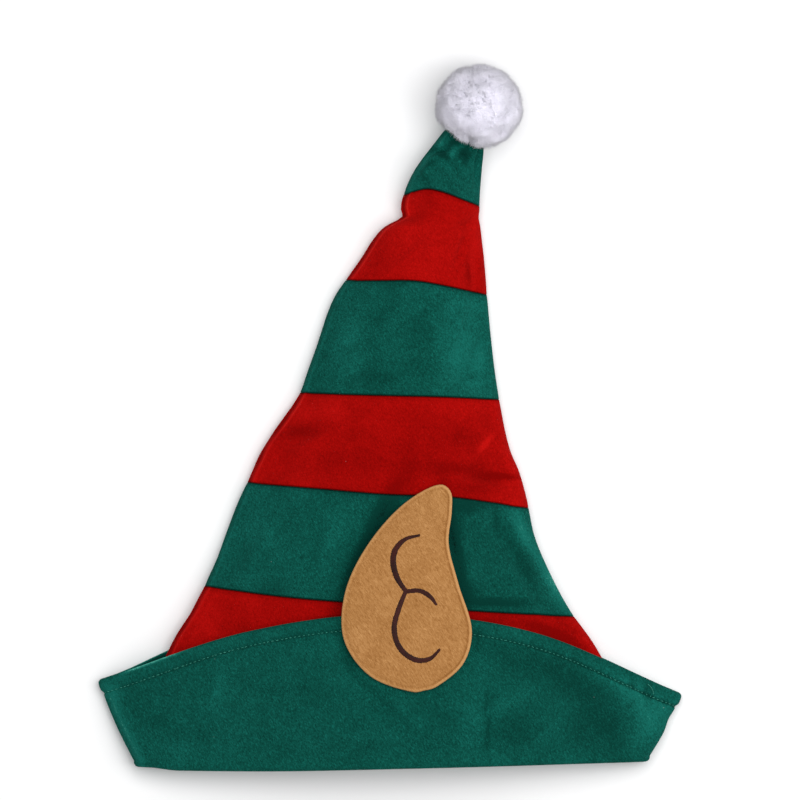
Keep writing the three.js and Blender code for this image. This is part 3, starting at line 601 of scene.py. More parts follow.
    def brim_point(self, ring: Ring, share: np.ndarray) -> np.ndarray:
        """The brim's outer face, a share of the way from its fold to its top edge."""
        foot, crest = self.brim_foot(ring), self.brim_crest(ring)
        share = np.broadcast_to(share, ring.flat.shape)
        p = foot + (crest - foot) * share[:, None]
        belly = np.sin(np.pi * np.clip(share, 0, 1))
        dent = np.where(ring.flat > 0, self.brim_dent, 0) * bump(share - 0.6, 0.15)
        p[:, 0] += ring.end_pull * (self.brim_belly * belly - dent)
        p[:, 2] += self.ear_lift(p[:, 0], p[:, 1]) - (1 - share) * self.ear_lift(foot[:, 0], foot[:, 1])
        p[:, 2] += np.where(ring.turn > 0, belly * self.folds_at(BRIM_FOLDS, p[:, 0], p[:, 1]), 0)
        return p

    def place(self, points: np.ndarray) -> np.ndarray:
        """Points about the middle of the mouth, moved to where the hat lies in the frame."""
        return points + self.origin


class Workshop:
    """Small helpers that make, finish and check meshes."""

    @staticmethod
    def clear_selection() -> None:
        """Leaves nothing selected."""
        bpy.ops.object.select_all(action="DESELECT")

    @classmethod
    def take(cls, obj: bpy.types.Object) -> bpy.types.Object:
        """Selects one object alone and makes it active."""
        cls.clear_selection()
        obj.select_set(True)
        bpy.context.view_layer.objects.active = obj
        return obj

    @classmethod
    def apply(cls, obj: bpy.types.Object, kind: str, **settings: object) -> None:
        """Adds a modifier with these settings and applies it."""
        cls.take(obj)
        modifier = obj.modifiers.new(kind.title(), kind)
        for name, value in settings.items():
            setattr(modifier, name, value)
        bpy.ops.object.modifier_apply(modifier=modifier.name)

    @classmethod
    def smooth(cls, obj: bpy.types.Object, degrees: float = 60) -> None:
        """Shades faces smooth where they meet at less than an angle."""
        cls.take(obj)
        bpy.ops.object.shade_smooth_by_angle(angle=math.radians(degrees))

    @staticmethod
    def link(name: str, data: object) -> bpy.types.Object:
        """A new object in the scene, at the origin."""
        obj = bpy.data.objects.new(name, data)
        bpy.context.scene.collection.objects.link(obj)
        return obj

    @classmethod
    def felt_ring(cls, name: str, points: np.ndarray, nap: np.ndarray, felt: float) -> bpy.types.Object:
        """A grid wrapped onto rows of points, its last column sewn to its first, then thickened inwards.

        Args:
            name: The object's name.
            points: Rows of points round the sheet, an array of rows by columns by 3.
            nap: How light the felt's nap lies at each point, painted light and shade included.
            felt: Its thickness.

        Returns:
            The ring.
        """
        rows, columns = points.shape[:2]
        cls.clear_selection()
        bpy.ops.mesh.primitive_grid_add(x_subdivisions=columns, y_subdivisions=rows - 1, size=1)
        sheet = bpy.context.active_object
        sheet.name = sheet.data.name = name
        flat = np.empty(len(sheet.data.vertices) * 3)
        sheet.data.vertices.foreach_get("co", flat)
        flat = flat.reshape(-1, 3)
        column = np.rint((flat[:, 0] + 0.5) * columns).astype(int) % columns
        row = np.rint((flat[:, 1] + 0.5) * (rows - 1)).astype(int)
        sheet.data.vertices.foreach_set("co", points[row, column].ravel())
        cls.set_nap_and_painted_light(sheet, nap[row, column])
        bpy.ops.object.mode_set(mode="EDIT")
        bpy.ops.mesh.select_all(action="SELECT")
        bpy.ops.mesh.remove_doubles(threshold=0.01 * MM)
        bpy.ops.object.mode_set(mode="OBJECT")
        cls.apply(sheet, "SOLIDIFY", thickness=felt, offset=-1, use_even_offset=False)
        cls.smooth(sheet)
        return sheet

    @staticmethod
    def set_nap_and_painted_light(obj: bpy.types.Object, nap: np.ndarray) -> None:
        """Keeps how light the nap lies at each point, painted light and shade included, for the felt's
        material.
        """
        layer = obj.data.attributes.new("nap", "FLOAT", "POINT")
        layer.data.foreach_set("value", nap.astype(np.float32))

    @classmethod
    def from_arrays(cls, name: str, points: np.ndarray, faces: list) -> bpy.types.Object:
        """A mesh object from arrays of points and faces."""
        mesh = bpy.data.meshes.new(name)
        mesh.from_pydata(points.tolist(), [], faces)
        mesh.update()
        return cls.link(name, mesh)

    @staticmethod
    def cut_template(axis: int, cuts: int) -> tuple[np.ndarray, list]:
        """Cuts the long edges of the primitive just added, takes its mesh and removes it.

        Args:
            axis: The axis that its long edges run along, 0 for X and 2 for Z.
            cuts: How many cuts go across each of them.

        Returns:
            Its points and faces.
        """
        template = bpy.context.active_object
        bpy.ops.object.transform_apply(location=True, rotation=True, scale=False)
        bpy.ops.object.mode_set(mode="EDIT")
        bpy.ops.mesh.select_mode(type="EDGE")
        bpy.ops.mesh.select_all(action="DESELECT")
        bpy.ops.object.mode_set(mode="OBJECT")
        mesh = template.data
        for edge in mesh.edges:
            a, b = (mesh.vertices[i].co for i in edge.vertices)
            edge.select = abs(a[axis] - b[axis]) > 0.5
        bpy.ops.object.mode_set(mode="EDIT")
        bpy.ops.mesh.subdivide(number_cuts=cuts)
        bpy.ops.object.mode_set(mode="OBJECT")
        points = np.array([v.co for v in mesh.vertices])
        faces = [list(p.vertices) for p in mesh.polygons]
        bpy.data.objects.remove(template)
        return points, faces

    @classmethod
    def stamped(cls, name: str, placed: np.ndarray, faces: list) -> bpy.types.Object:
        """One joined mesh from many placed copies of a template.

        Args:
            name: The object's name.
            placed: The points of each copy, an array of copies by points by 3.
            faces: The template's faces.

        Returns:
            The joined object.
        """
        copies, count = placed.shape[:2]
        starts = np.arange(copies) * count
        sizes = np.array([len(f) for f in faces])
        loops = np.concatenate([np.array(f) for f in faces])
        all_loops = (starts[:, None] + loops[None, :]).ravel()
        all_sizes = np.tile(sizes, copies)
        mesh = bpy.data.meshes.new(name)
        mesh.vertices.add(copies * count)
        mesh.vertices.foreach_set("co", placed.astype(np.float32).ravel())
        mesh.loops.add(len(all_loops))
        mesh.loops.foreach_set("vertex_index", all_loops.astype(np.int32))
        mesh.polygons.add(len(all_sizes))
        mesh.polygons.foreach_set("loop_start", (np.cumsum(all_sizes) - all_sizes).astype(np.int32))
        mesh.update(calc_edges=True)
        mesh.validate()
        return cls.link(name, mesh)

    @classmethod
    def finish(cls, obj: bpy.types.Object, slot: Slot, material: bpy.types.Material, *nodes: str) -> None:
        """Dresses a piece, lets it ride on the hat and stand for its frame nodes."""
        obj.data.materials.clear()
        obj.data.materials.append(material)
        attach(obj, "root")
        if nodes:
            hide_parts(*nodes)
        faces = sum(len(p.vertices) - 2 for p in obj.data.polygons)
        log.info("%s: %d triangles", obj.name, faces)


class NodeBoard:
    """The nodes of one material, laid out by short calls."""

    def __init__(self, name: str) -> None:
        """Starts a material with a plain shader."""
        self.material = bpy.data.materials.new(name)
        self.material.use_nodes = True
        self.tree = self.material.node_tree
        self.shader = self.tree.nodes["Principled BSDF"]
        self.place = self.tree.nodes.new("ShaderNodeTexCoord").outputs["Object"]

    def add(self, kind: str, inputs: dict, **settings: object) -> bpy.types.Node:
        """Adds a node, sets it and links its inputs.

        Args:
            kind: The node's type.
            inputs: A value or an output for each of its inputs, by name or number.
            settings: Its other settings.

        Returns:
            The node.
        """
        node = self.tree.nodes.new(kind)
        for name, value in settings.items():
            setattr(node, name, value)
        for key, value in inputs.items():
            if isinstance(value, bpy.types.NodeSocket):
                self.tree.links.new(value, node.inputs[key])
            else:
                node.inputs[key].default_value = value
        return node

    def noise(self, scale: float, detail: float, roughness: float, distortion: float = 0) -> object:
        """Noise on the object's own coordinates."""
        inputs = {"Vector": self.place, "Scale": scale, "Detail": detail, "Roughness": roughness}
        return self.add("ShaderNodeTexNoise", inputs | {"Distortion": distortion}).outputs["Fac"]

    def streaks(self, scale: float, turn: float, drawn: float, roughness: float) -> bpy.types.NodeSocket:
        """Fine noise drawn out along a direction, as a brushed nap lies."""
        turned = {"Vector": self.place, "Rotation": (0, 0, math.radians(turn)), "Scale": (drawn, 1, 1)}
        place = self.add("ShaderNodeMapping", turned, vector_type="TEXTURE").outputs["Vector"]
        inputs = {"Vector": place, "Scale": scale, "Detail": 3.0, "Roughness": roughness, "Distortion": 0.9}
        return self.add("ShaderNodeTexNoise", inputs).outputs["Fac"]

    def stretch(self, value: object, low: float, high: float, to: tuple[float, float] = (0, 1)) -> object:
        """A value mapped from one range to another, and held there."""
        inputs = {"Value": value, "From Min": low, "From Max": high, "To Min": to[0], "To Max": to[1]}
        return self.add("ShaderNodeMapRange", inputs).outputs["Result"]

    def mix(self, share: object, one: object, other: object, blend: str = "MIX") -> bpy.types.NodeSocket:
        """Two colours mixed by a share."""
        node = self.add("ShaderNodeMix", {0: share, 6: one, 7: other}, data_type="RGBA", blend_type=blend)
        return node.outputs[2]

    def math(self, operation: str, one: object, other: object) -> bpy.types.NodeSocket:
        """A sum, product or other operation on two values."""
        return self.add("ShaderNodeMath", {0: one, 1: other}, operation=operation).outputs[0]

    def bump(self, height: object, distance: float, strength: float, under: object = None) -> object:
        """A bump from a height, on top of another one if there is one."""
        inputs = {"Height": height, "Distance": distance, "Strength": strength}
        if under is not None:
            inputs["Normal"] = under
        return self.add("ShaderNodeBump", inputs).outputs["Normal"]

    def nap(self) -> bpy.types.NodeSocket:
        """How light the nap lies, as kept at each point of a piece: its painted light and shade, and its
        drift.
        """
        return self.add("ShaderNodeAttribute", {}, attribute_name="nap").outputs["Fac"]

    def total(self, *layers: tuple[object, float]) -> bpy.types.NodeSocket:
        """The sum of values, each times its weight."""
        products = [self.math("MULTIPLY", value, weight) for value, weight in layers]
        tone = products[0]
        for product in products[1:]:
            tone = self.math("ADD", tone, product)
        return tone

    def set(self, **values: object) -> None:
        """Sets or links the shader's sockets, with _ for a space in a name."""
        for name, value in values.items():
            socket = self.shader.inputs[name.replace("_", " ")]
            if isinstance(value, bpy.types.NodeSocket):
                self.tree.links.new(value, socket)
            else:
                socket.default_value = value


@dataclass(frozen=True)
class FeltFinish:
    """Brushed felt: a matted ground, a short nap drawn out one way, faint clouds and stray pale fibres, and
    painted light and shade from the nap kept at each point, up to a pale painted highlight and down to a dark
    painted shade.
    """

    name: str
    deep: tuple[int, int, int]
    middle: tuple[int, int, int]
    bright: tuple[int, int, int]
    painted_highlight: tuple[int, int, int]
    sheen: tuple[int, int, int]
    lint: float
    nap: float
    grain: float = 1.0
    matted: float = 0.22
    lay: float = -60.0
    drawn: float = 2.2
    drift: float = 0.1
    stage: float = 0.11
    painted_highlight_stage: tuple[float, float] = (0.17, 0.34)
    painted_shade_stage: tuple[float, float] = (-0.4, -0.25)
    painted_shade_share: float = 0.45
    cloud_scale: float = 120
    mat_scale: float = 950
    fibre_scale: float = 1500
    lint_scale: float = 130
    lint_colour: tuple[int, int, int] = (205, 222, 218)

    def material(self) -> bpy.types.Material:
        """The felt as a material."""
        board = NodeBoard(self.name)
        layers = (
            (board.noise(self.cloud_scale, 3, 0.55, 0.5), 0.1),
            (board.noise(self.mat_scale, 3, 0.6, 1.0), self.matted * self.grain),
            (board.streaks(self.fibre_scale, self.lay, self.drawn, 0.65), 0.5 * self.grain),
        )
        matting, fibre = layers[1][0], layers[2][0]
        # The kept nap carries painted light and shade as well as the nap's drift, and shifts the tone
        tone = board.total((board.nap(), self.drift), *layers)
        rest = 0.5 * sum(weight for _, weight in layers)
        deep, middle, bright = linear(*self.deep), linear(*self.middle), linear(*self.bright)
        low = board.mix(board.stretch(tone, rest - self.stage, rest), deep, middle)
        colour = board.mix(board.stretch(tone, rest, rest + self.stage), low, bright)
        # The highest tones turn to a pale painted highlight
        painted_highlight = board.stretch(tone, *(rest + edge for edge in self.painted_highlight_stage))
        colour = board.mix(painted_highlight, colour, linear(*self.painted_highlight))
        # The lowest tones turn to a dark painted shade, for seam gaps and painted shadows
        raised = board.stretch(tone, *(rest + edge for edge in self.painted_shade_stage))
        hollow = linear(*(round(self.painted_shade_share * part) for part in self.deep))
        colour = board.mix(raised, hollow, colour)
        specks = board.add("ShaderNodeTexVoronoi", {"Vector": board.place, "Scale": self.lint_scale})
        near = board.stretch(specks.outputs["Distance"], 0.04, 0.02)
        some = board.stretch(board.noise(60, 0, 0.5), 0.6, 0.64, (0, self.lint))
        lint = board.math("MULTIPLY", near, some)
        colour = board.mix(lint, colour, linear(*self.lint_colour))
        ground = board.bump(matting, 0.8 * MM, 0.3 * self.nap)
        nap = board.bump(fibre, 0.5 * MM, 0.7 * self.nap, ground)
        board.set(Base_Color=colour, Normal=nap, Roughness=1.0, Specular_IOR_Level=0.04)
        board.set(Sheen_Weight=0.25, Sheen_Roughness=0.4, Sheen_Tint=linear(*self.sheen))
        return board.material


@dataclass(frozen=True)
class ThreadFinish:
    """Twisted embroidery or sewing thread with a soft shine."""

    name: str
    dark: tuple[int, int, int]
    light: tuple[int, int, int]
    roughness: float

    def material(self) -> bpy.types.Material:
        """The thread as a material."""
        board = NodeBoard(self.name)
        strands = board.noise(2400, 2, 0.6, 0.4)
        # The kept nap brings in painted shade, as at the embroidery threads' ends
        tone = board.total((strands, 0.6), (board.noise(160, 2, 0.5), 0.4), (board.nap(), 0.15))
        colour = board.mix(board.stretch(tone, 0.36, 0.64), linear(*self.dark), linear(*self.light))
        board.set(Base_Color=colour, Roughness=self.roughness, Specular_IOR_Level=0.25)
        board.set(Normal=board.bump(strands, 0.12 * MM, 0.5))
        return board.material


@dataclass(frozen=True)
class PlushFinish:
    """White plush pile, faintly cool, with faint greyer patches."""

    name: str
    deep: tuple[int, int, int]
    bright: tuple[int, int, int]

    def material(self) -> bpy.types.Material:
        """The plush as a material."""
        board = NodeBoard(self.name)
        strands = board.noise(1800, 2, 0.6)
        tone = board.total((board.noise(95, 3, 0.55, 0.5), 0.75), (strands, 0.25))
        colour = board.mix(board.stretch(tone, 0.36, 0.6), linear(*self.deep), linear(*self.bright))
        board.set(Base_Color=colour, Roughness=0.8, Specular_IOR_Level=0.2)
        board.set(Sheen_Weight=0.3, Sheen_Roughness=0.5, Normal=board.bump(strands, 0.15 * MM, 0.4))
        board.shader.subsurface_method = "BURLEY"
        board.set(Subsurface_Weight=0.6, Subsurface_Radius=(1, 1, 1), Subsurface_Scale=4 * MM)
        return board.material


@dataclass(frozen=True)
class Finishes:
    """Every finish on the hat."""

    green: FeltFinish = FeltFinish(
        "green_felt", (4, 53, 45), (9, 74, 64), (18, 99, 88), (84, 178, 158), (30, 150, 136), lint=0.3, nap=1.0
    )
    red: FeltFinish = FeltFinish(
        "red_felt", (122, 2, 1), (152, 6, 4), (180, 13, 10), (226, 42, 32), (190, 30, 24), 0.12, 0.8, 0.7
    )
    tan: FeltFinish = FeltFinish(
        "tan_felt", (140, 92, 46), (165, 116, 67), (188, 139, 88), (205, 158, 106), (220, 180, 130),
        lint=0.1, nap=0.9, grain=0.95, matted=0.08, lay=-55, drawn=3.6
    )
    brown: ThreadFinish = ThreadFinish("brown_thread", (18, 4, 3), (66, 24, 18), 0.7)
    hem: ThreadFinish = ThreadFinish("hem_thread", (20, 104, 90), (70, 160, 140), 0.7)
    plush: PlushFinish = PlushFinish("white_plush", (223, 221, 230), (236, 234, 243))


@dataclass
class CrownBand:
    """One sewn felt ring of the crown, its edges rolled in at the seams."""

    name: str
    index: int
    slot: Slot
    form: HatForm
    ring: Ring
    row_step: float = 2.1 * MM
    tip_step: float = 1.2 * MM
    wall: float = 0.9 * MM
    edge_round: float = 0.95 * MM
    allowance: float = 2.6 * MM
    seam_roll: float = 0.45 * MM
    seam_reach: float = 2.4 * MM
    pucker: float = 0.45 * MM
    pucker_reach: float = 4.5 * MM
    cloud: float = 0.75 * MM
    seam_gap: float = 0.08 * MM
    crease_round: float = 0.22
    crease_depth: float = 2.5
    under_share: float = 0.3
    side_ledge: float = 1.3 * MM
    least_area: float = 0.31
    # Painted shade in the seam gaps, and the brim's painted shadow on the crown just above it
    seam_painted_shade: float = 5.5
    brim_shade: float = 2.8
    brim_shade_reach: float = 1.4 * MM
    brim_shade_more: float = 1.3 * MM
    puckering: Drift = Drift(0.5, 7 * MM, 3.1)
    large_clouds: Drift = Drift(1, 34 * MM, 7.7)
    small_clouds: Drift = Drift(0.5, 13 * MM, 1.9)
    side_wave: Drift = Drift(0.4 * MM, 15 * MM, 6.6)
    edge_unevenness: Drift = Drift(0.5, 9 * MM, 4.8, (0, 1, 0))
    nap_drift: Drift = Drift(0.35, 16 * MM, 12.4, (1, 0.6, 0.3))

    @property
    def is_tip(self) -> bool:
        """Whether it is the band that the pompom sits on."""
        return self.index == len(SEAM_LINES)

    def seam_rows(self) -> list[tuple[float, float, float]]:
        """The felt turned in at a seam: each row's way from it, its rounding, and its way further in."""
        deep = self.allowance - self.edge_round
        rows = [(0, self.edge_round, deep * share) for share in (1, 0.66, 0.33)]
        for angle in np.radians((0, 22, 45, 68)):
            rows.append((self.edge_round * (1 - math.cos(angle)), self.edge_round * (1 - math.sin(angle)), 0))
        return rows

    @property
    def tight(self) -> np.ndarray:
        """How much of a seam's rounding is left round the ring: little at the side creases."""
        return 1 - (1 - self.crease_round) * np.abs(self.ring.end_pull)

    def rows(self) -> tuple[np.ndarray, np.ndarray]:
        """Rows of points of the band's outer face, about the middle of the mouth, and their nap."""
        form, ring = self.form, self.ring
        low = form.seam_height(self.index, ring) + (self.seam_gap if self.index else form.piece_gap) / 2
        high = form.seam_height(self.index + 1, ring) - (0 if self.is_tip else self.seam_gap / 2)
        turned = self.seam_rows()
        flat_low = low + self.edge_round
        flat_high = high if self.is_tip else high - self.edge_round
        step = self.tip_step if self.is_tip else self.row_step
        count = max(8, round(float(np.mean(high - low)) / step))
        heights = [(low + off, bend, deep) for off, bend, deep in turned]
        shares = np.linspace(0, 1, count + 1)
        heights += [(flat_low + (flat_high - flat_low) * share, 0, 0) for share in shares]
        if not self.is_tip:
            heights += [(high - off, bend, deep) for off, bend, deep in reversed(turned)]
        points, nap = [], []
        for y, bend, deep in heights:
            p, n = form.crown_point(ring, y), form.crown_normal(ring, y)
            inset = bend * self.tight + deep
            face = p + n * (self.relief(p, y, y - low, high - y) - inset)[:, None]
            crease = form.crown_section(y)["crease"] / form.crown_crease
            face[:, 0] += self.side_ledge * ring.ledge * crease * self.edge_share(p)
            points.append(face)
            nap.append(self.nap(p, y) + self.seam_shade(y - low, high - y))
        if self.is_tip:
            closing = self.closing_rows(points[-1])
            points += closing
            nap += [nap[-1]] * len(closing)
        return form.place(np.array(points)), np.array(nap)

    def nap(self, p: np.ndarray, y: np.ndarray) -> np.ndarray:
        """How light the nap lies: painted light and shade on the upper layer, the brim's painted shadow just
        above it, and the left crease's painted highlight and shadow line.
        """
        form, ring = self.form, self.ring
        above = y - form.brim_edge(ring.flat) * form.brim_height
        reach = self.brim_shade_reach + self.brim_shade_more * smoothstep(ring.flat, 0.1, 0.5)
        shade = form.bumps_at(CROWN_PAINTED_LIGHT, p[:, 0], y) - self.brim_shade * bump(above, reach)
        edge = ring.left_edge_painted_light * self.edge_share(p)
        return self.nap_drift.at(p) + np.where(ring.turn > 0, shade, 0) + edge

    def edge_share(self, p: np.ndarray) -> np.ndarray:
        """How plain the side seam is along the left crease, in its shape and its painted light and shade: most
        in the red bands, and uneven.
        """
        plain = 1 if self.slot is Slot.RED else 0.3
        return plain * (0.75 + self.edge_unevenness.at(p))

    def seam_shade(self, below: np.ndarray, above: np.ndarray) -> np.ndarray:
        """Painted shade: the dark line in the seam's gap at each edge of the band."""
        upper = 0 if self.is_tip else bump(above, 0.6 * MM)
        return -self.seam_painted_shade * (upper + 0.7 * bump(below, 0.45 * MM))

    def relief(self, p: np.ndarray, y: np.ndarray, below: np.ndarray, above: np.ndarray) -> np.ndarray:
        """How far the surface stands in or out of its smooth form: seams, puckers, creases and clouds."""
        form, ring = self.form, self.ring
        near = below if self.is_tip else np.minimum(below, above)
        upper = ring.turn > 0
        relief = -self.seam_roll * bump(near, self.seam_reach) * self.tight
        relief -= self.pucker * (0.5 + self.puckering.at(p)) * bump(near, self.pucker_reach) * self.tight
        section = form.crown_section(y)
        bow = form.bow(form.share_across(section, p[:, 0]))
        fade = smoothstep(bow, 0, 0.25) * np.where(upper, 1, self.under_share)
        clouds = self.large_clouds.at(p) + self.small_clouds.at(p)
        free = np.where(upper, form.ear_free(p[:, 0], y), 1)
        relief += fade * self.cloud * clouds * free
        depth = np.where(upper, self.crease_depth * fade * free, 0)
        relief += depth * form.folds_at(FINE_CREASES, p[:, 0], y)
        return relief + np.where(ring.end_side < 0, self.side_wave.at(p) * bump(ring.turn, 35), 0)

    def closing_rows(self, last: np.ndarray) -> list[np.ndarray]:
        """Rows that gather the tip's felt to a point."""
        middle = last.mean(axis=0)
        return [middle + (last - middle) * share for share in (0.97, 0.85, 0.6, 0.3, 0)]

    def build(self, felt: bpy.types.Material) -> bpy.types.Object:
        """Makes, thickens and dresses the band.

        Args:
            felt: Its material.

        Returns:
            The finished band.
        """
        points, nap = self.rows()
        band = Workshop.felt_ring(self.name + "_felt", points, nap, self.wall)
        Workshop.finish(band, self.slot, felt, self.name)
        width, length, area = sheet_size(points)
        area = min(max(area, self.least_area * width * length), width * length)
        return band


@dataclass
class Brim:
    """The turned-up brim: a lip inside the mouth, the fold, the cuff and a hem turned in and stitched."""

    form: HatForm
    ring: Ring
    cuff_rows: int = 34
    hem_rows: int = 9
    turn_steps: int = 6
    hem_turn: float = 1.75 * MM
    pinch: float = 0.7 * MM
    groove: float = 0.9 * MM
    cloud: float = 0.85 * MM
    crease_depth: float = 2.3
    under_share: float = 0.25
    side_ledge: float = 0.6 * MM
    large_clouds: Drift = Drift(1, 38 * MM, 4.3)
    small_clouds: Drift = Drift(0.4, 12 * MM, 9.4)
    puckering: Drift = Drift(0.5, 5 * MM, 2.2)
    hem_wave: Drift = Drift(0.25 * MM, 4.5 * MM, 5.5, (1, 0.5, 1))
    hem_shades: Drift = Drift(1.2, 3.2 * MM, 8.8, (1, 0.35, 1))
    nap_drift: Drift = Drift(0.3, 18 * MM, 2.9, (0.8, 1, 0.3))
    lengths: np.ndarray = field(init=False)

    def __post_init__(self) -> None:
        """Measures the cuff from its fold to its top edge all round."""
        step = self.form.brim_crest(self.ring) - self.form.brim_foot(self.ring)
        self.lengths = np.linalg.norm(step, axis=1)

    def outer(self, below: np.ndarray, ring: Ring, lengths: np.ndarray) -> np.ndarray:
        """The cuff's outer face at a distance below its top edge."""
        puff = smooth_through((0, 0.35, 0.75, 1, 1.2), (0.2, 0.6, 0.5, 0, 0))
        p = self.form.brim_point(ring, 1 - below / lengths)
        p[:, 0] += ring.end_pull * self.form.hem_puff * puff(below / self.form.hem_depth)
        return p

    def face(self, below: np.ndarray, step: float = 1 * MM) -> tuple[np.ndarray, np.ndarray]:
        """Points and outward directions of the cuff at a distance below its top edge."""
        p = self.outer(below, self.ring, self.lengths)
        after, before = self.ring.rolled(1), self.ring.rolled(-1)
        across = self.outer(below, after, np.roll(self.lengths, -1))
        across = across - self.outer(below, before, np.roll(self.lengths, 1))
        along = self.outer(below - step, self.ring, self.lengths)
        along = along - self.outer(below + step, self.ring, self.lengths)
        return p, unit(np.cross(across, along))

    def relief(self, p: np.ndarray, below: np.ndarray) -> np.ndarray:
        """How far the cuff stands in or out of its smooth form."""
        form, ring = self.form, self.ring
        share = np.clip(below / self.lengths, 0, 1)
        upper = ring.turn > 0
        fade = np.where(upper, 1, self.under_share) * smoothstep(1 - share, 0.02, 0.2)
        fade *= np.where(ring.end_side, 0.3, 1)
        free = np.where(upper, form.ear_free(p[:, 0], p[:, 1]), 1)
        relief = fade * self.cloud * (self.large_clouds.at(p) + self.small_clouds.at(p)) * free
        depth = np.where(upper, self.crease_depth * fade * free, 0)
        relief += depth * form.folds_at(BRIM_CREASES, p[:, 0], p[:, 1])
        pinch = self.pinch * bump(below - form.hem_depth, self.groove)
        drawn = 1 + 1.4 * smoothstep(ring.flat, 0.35, 0.95)
        wave = drawn * self.hem_wave.at(p) * smoothstep(form.hem_depth - below, 0, 2 * MM)
        return relief - pinch * (1 + 0.5 * self.puckering.at(p)) + wave

    def nap(self, p: np.ndarray, below: np.ndarray) -> np.ndarray:
        """How light the nap lies: painted light and shade on the upper layer, a painted highlight along the
        hem's top edge, painted shade along the stitch line, and painted shade on the lower layer where it
        shows.
        """
        ring, hem = self.ring, self.form.hem_depth
        shade = self.form.bumps_at(BRIM_PAINTED_LIGHT, p[:, 0], p[:, 1])
        left_end = smoothstep(ring.flat, -0.97, -0.89) * (1 - smoothstep(ring.flat, -0.8, -0.66))
        # A painted highlight along the hem's top edge at the left end, a little darker right at the edge
        painted_highlight = 4 * bump(below - 0.4 * MM, 0.6 * MM) * left_end - 0.5 * bump(below, 1 * MM)
        # Painted shade along the stitch line, deeper on the right
        stitched = -(0.9 + 1.2 * smoothstep(ring.flat, 0.3, 0.8)) * bump(below - hem, 0.7 * MM)
        # Painted light and shade where the hem puckers on the right
        puckers = self.hem_shades.at(p) * smoothstep(ring.flat, 0.35, 0.95)
        puckers *= bump(below - 0.8 * hem, 0.45 * hem)
        # The left crease's painted highlight and shadow line, on the cuff below the hem
        cut = 0.3 * ring.left_edge_painted_light * smoothstep(below, hem, 1.6 * hem)
        # Painted shade on the lower layer where it shows at the left end, with a painted highlight along its
        # top edge
        behind = left_end * (3 * bump(below, 0.7 * MM) - 2 * bump(below - 4 * MM, 5 * MM))
        shown = np.where(ring.turn > 0, shade + painted_highlight + stitched + puckers, behind * (ring.turn < 0))
        return self.nap_drift.at(p) + shown + cut

    def row(self, below: np.ndarray, inset: float = 0) -> tuple[np.ndarray, np.ndarray]:
        """A row of the cuff, or of the felt behind it, and its nap."""
        p, n = self.face(below)
        face = p + n * (self.relief(p, below) - inset)[:, None]
        down = smoothstep(below, self.form.hem_depth, 1.8 * self.form.hem_depth)
        face[:, 0] += self.side_ledge * self.ring.ledge * down * smoothstep(self.lengths - below, 0, 4 * MM)
        return face, self.nap(p, below)

    def lip_row(self, turn: float, up: float | None = None) -> tuple[np.ndarray, np.ndarray]:
        """A row of the lip or of the fold that turns the brim up, and its nap."""
        form = self.form
        radius = form.fold_radius
        outwards = form.cuff_gap / 2 - radius * math.cos(turn)
        height = radius - radius * math.sin(turn) if up is None else up
        y = form.fold_height(self.ring) + height
        p = form.crown_point(self.ring, y) + form.crown_normal(self.ring, y) * outwards
        return p, self.nap(p, self.lengths)

    def rows(self) -> tuple[np.ndarray, np.ndarray]:
        """The brim's outer face, from the top of its lip to the end of its hem, and its nap."""
        form, turn = self.form, self.hem_turn
        top = form.lip_height - form.piece_gap / 2
        rows = [self.lip_row(0, up) for up in np.linspace(top, form.fold_radius, 6)[:-1]]
        rows += [self.lip_row(math.pi * i / 10) for i in range(10)]
        hem = np.full(len(self.ring), form.hem_depth)
        for share in np.linspace(0, 1, self.cuff_rows + 1)[:-1]:
            rows.append(self.row(self.lengths + (hem * 1.3 - self.lengths) * share))
        for share in np.linspace(1.3, turn / form.hem_depth, self.hem_rows):
            rows.append(self.row(hem * share))
        for i in range(1, self.turn_steps):
            angle = math.pi * i / self.turn_steps
            below = np.full(len(self.ring), turn - turn * math.sin(angle))
            rows.append(self.row(below, turn * (1 - math.cos(angle))))
        for share in np.linspace(turn / form.hem_depth, 1, 5):
            rows.append(self.row(hem * share, 2 * turn))
        return form.place(np.array([p for p, _ in rows])), np.array([nap for _, nap in rows])

    def build(self, felt: bpy.types.Material) -> bpy.types.Object:
        """Makes, thickens and dresses the brim."""
        points, nap = self.rows()
        brim = Workshop.felt_ring("brim_felt", points, nap, self.form.felt)
        Workshop.finish(brim, Slot.GREEN, felt, "brim")
        return brim


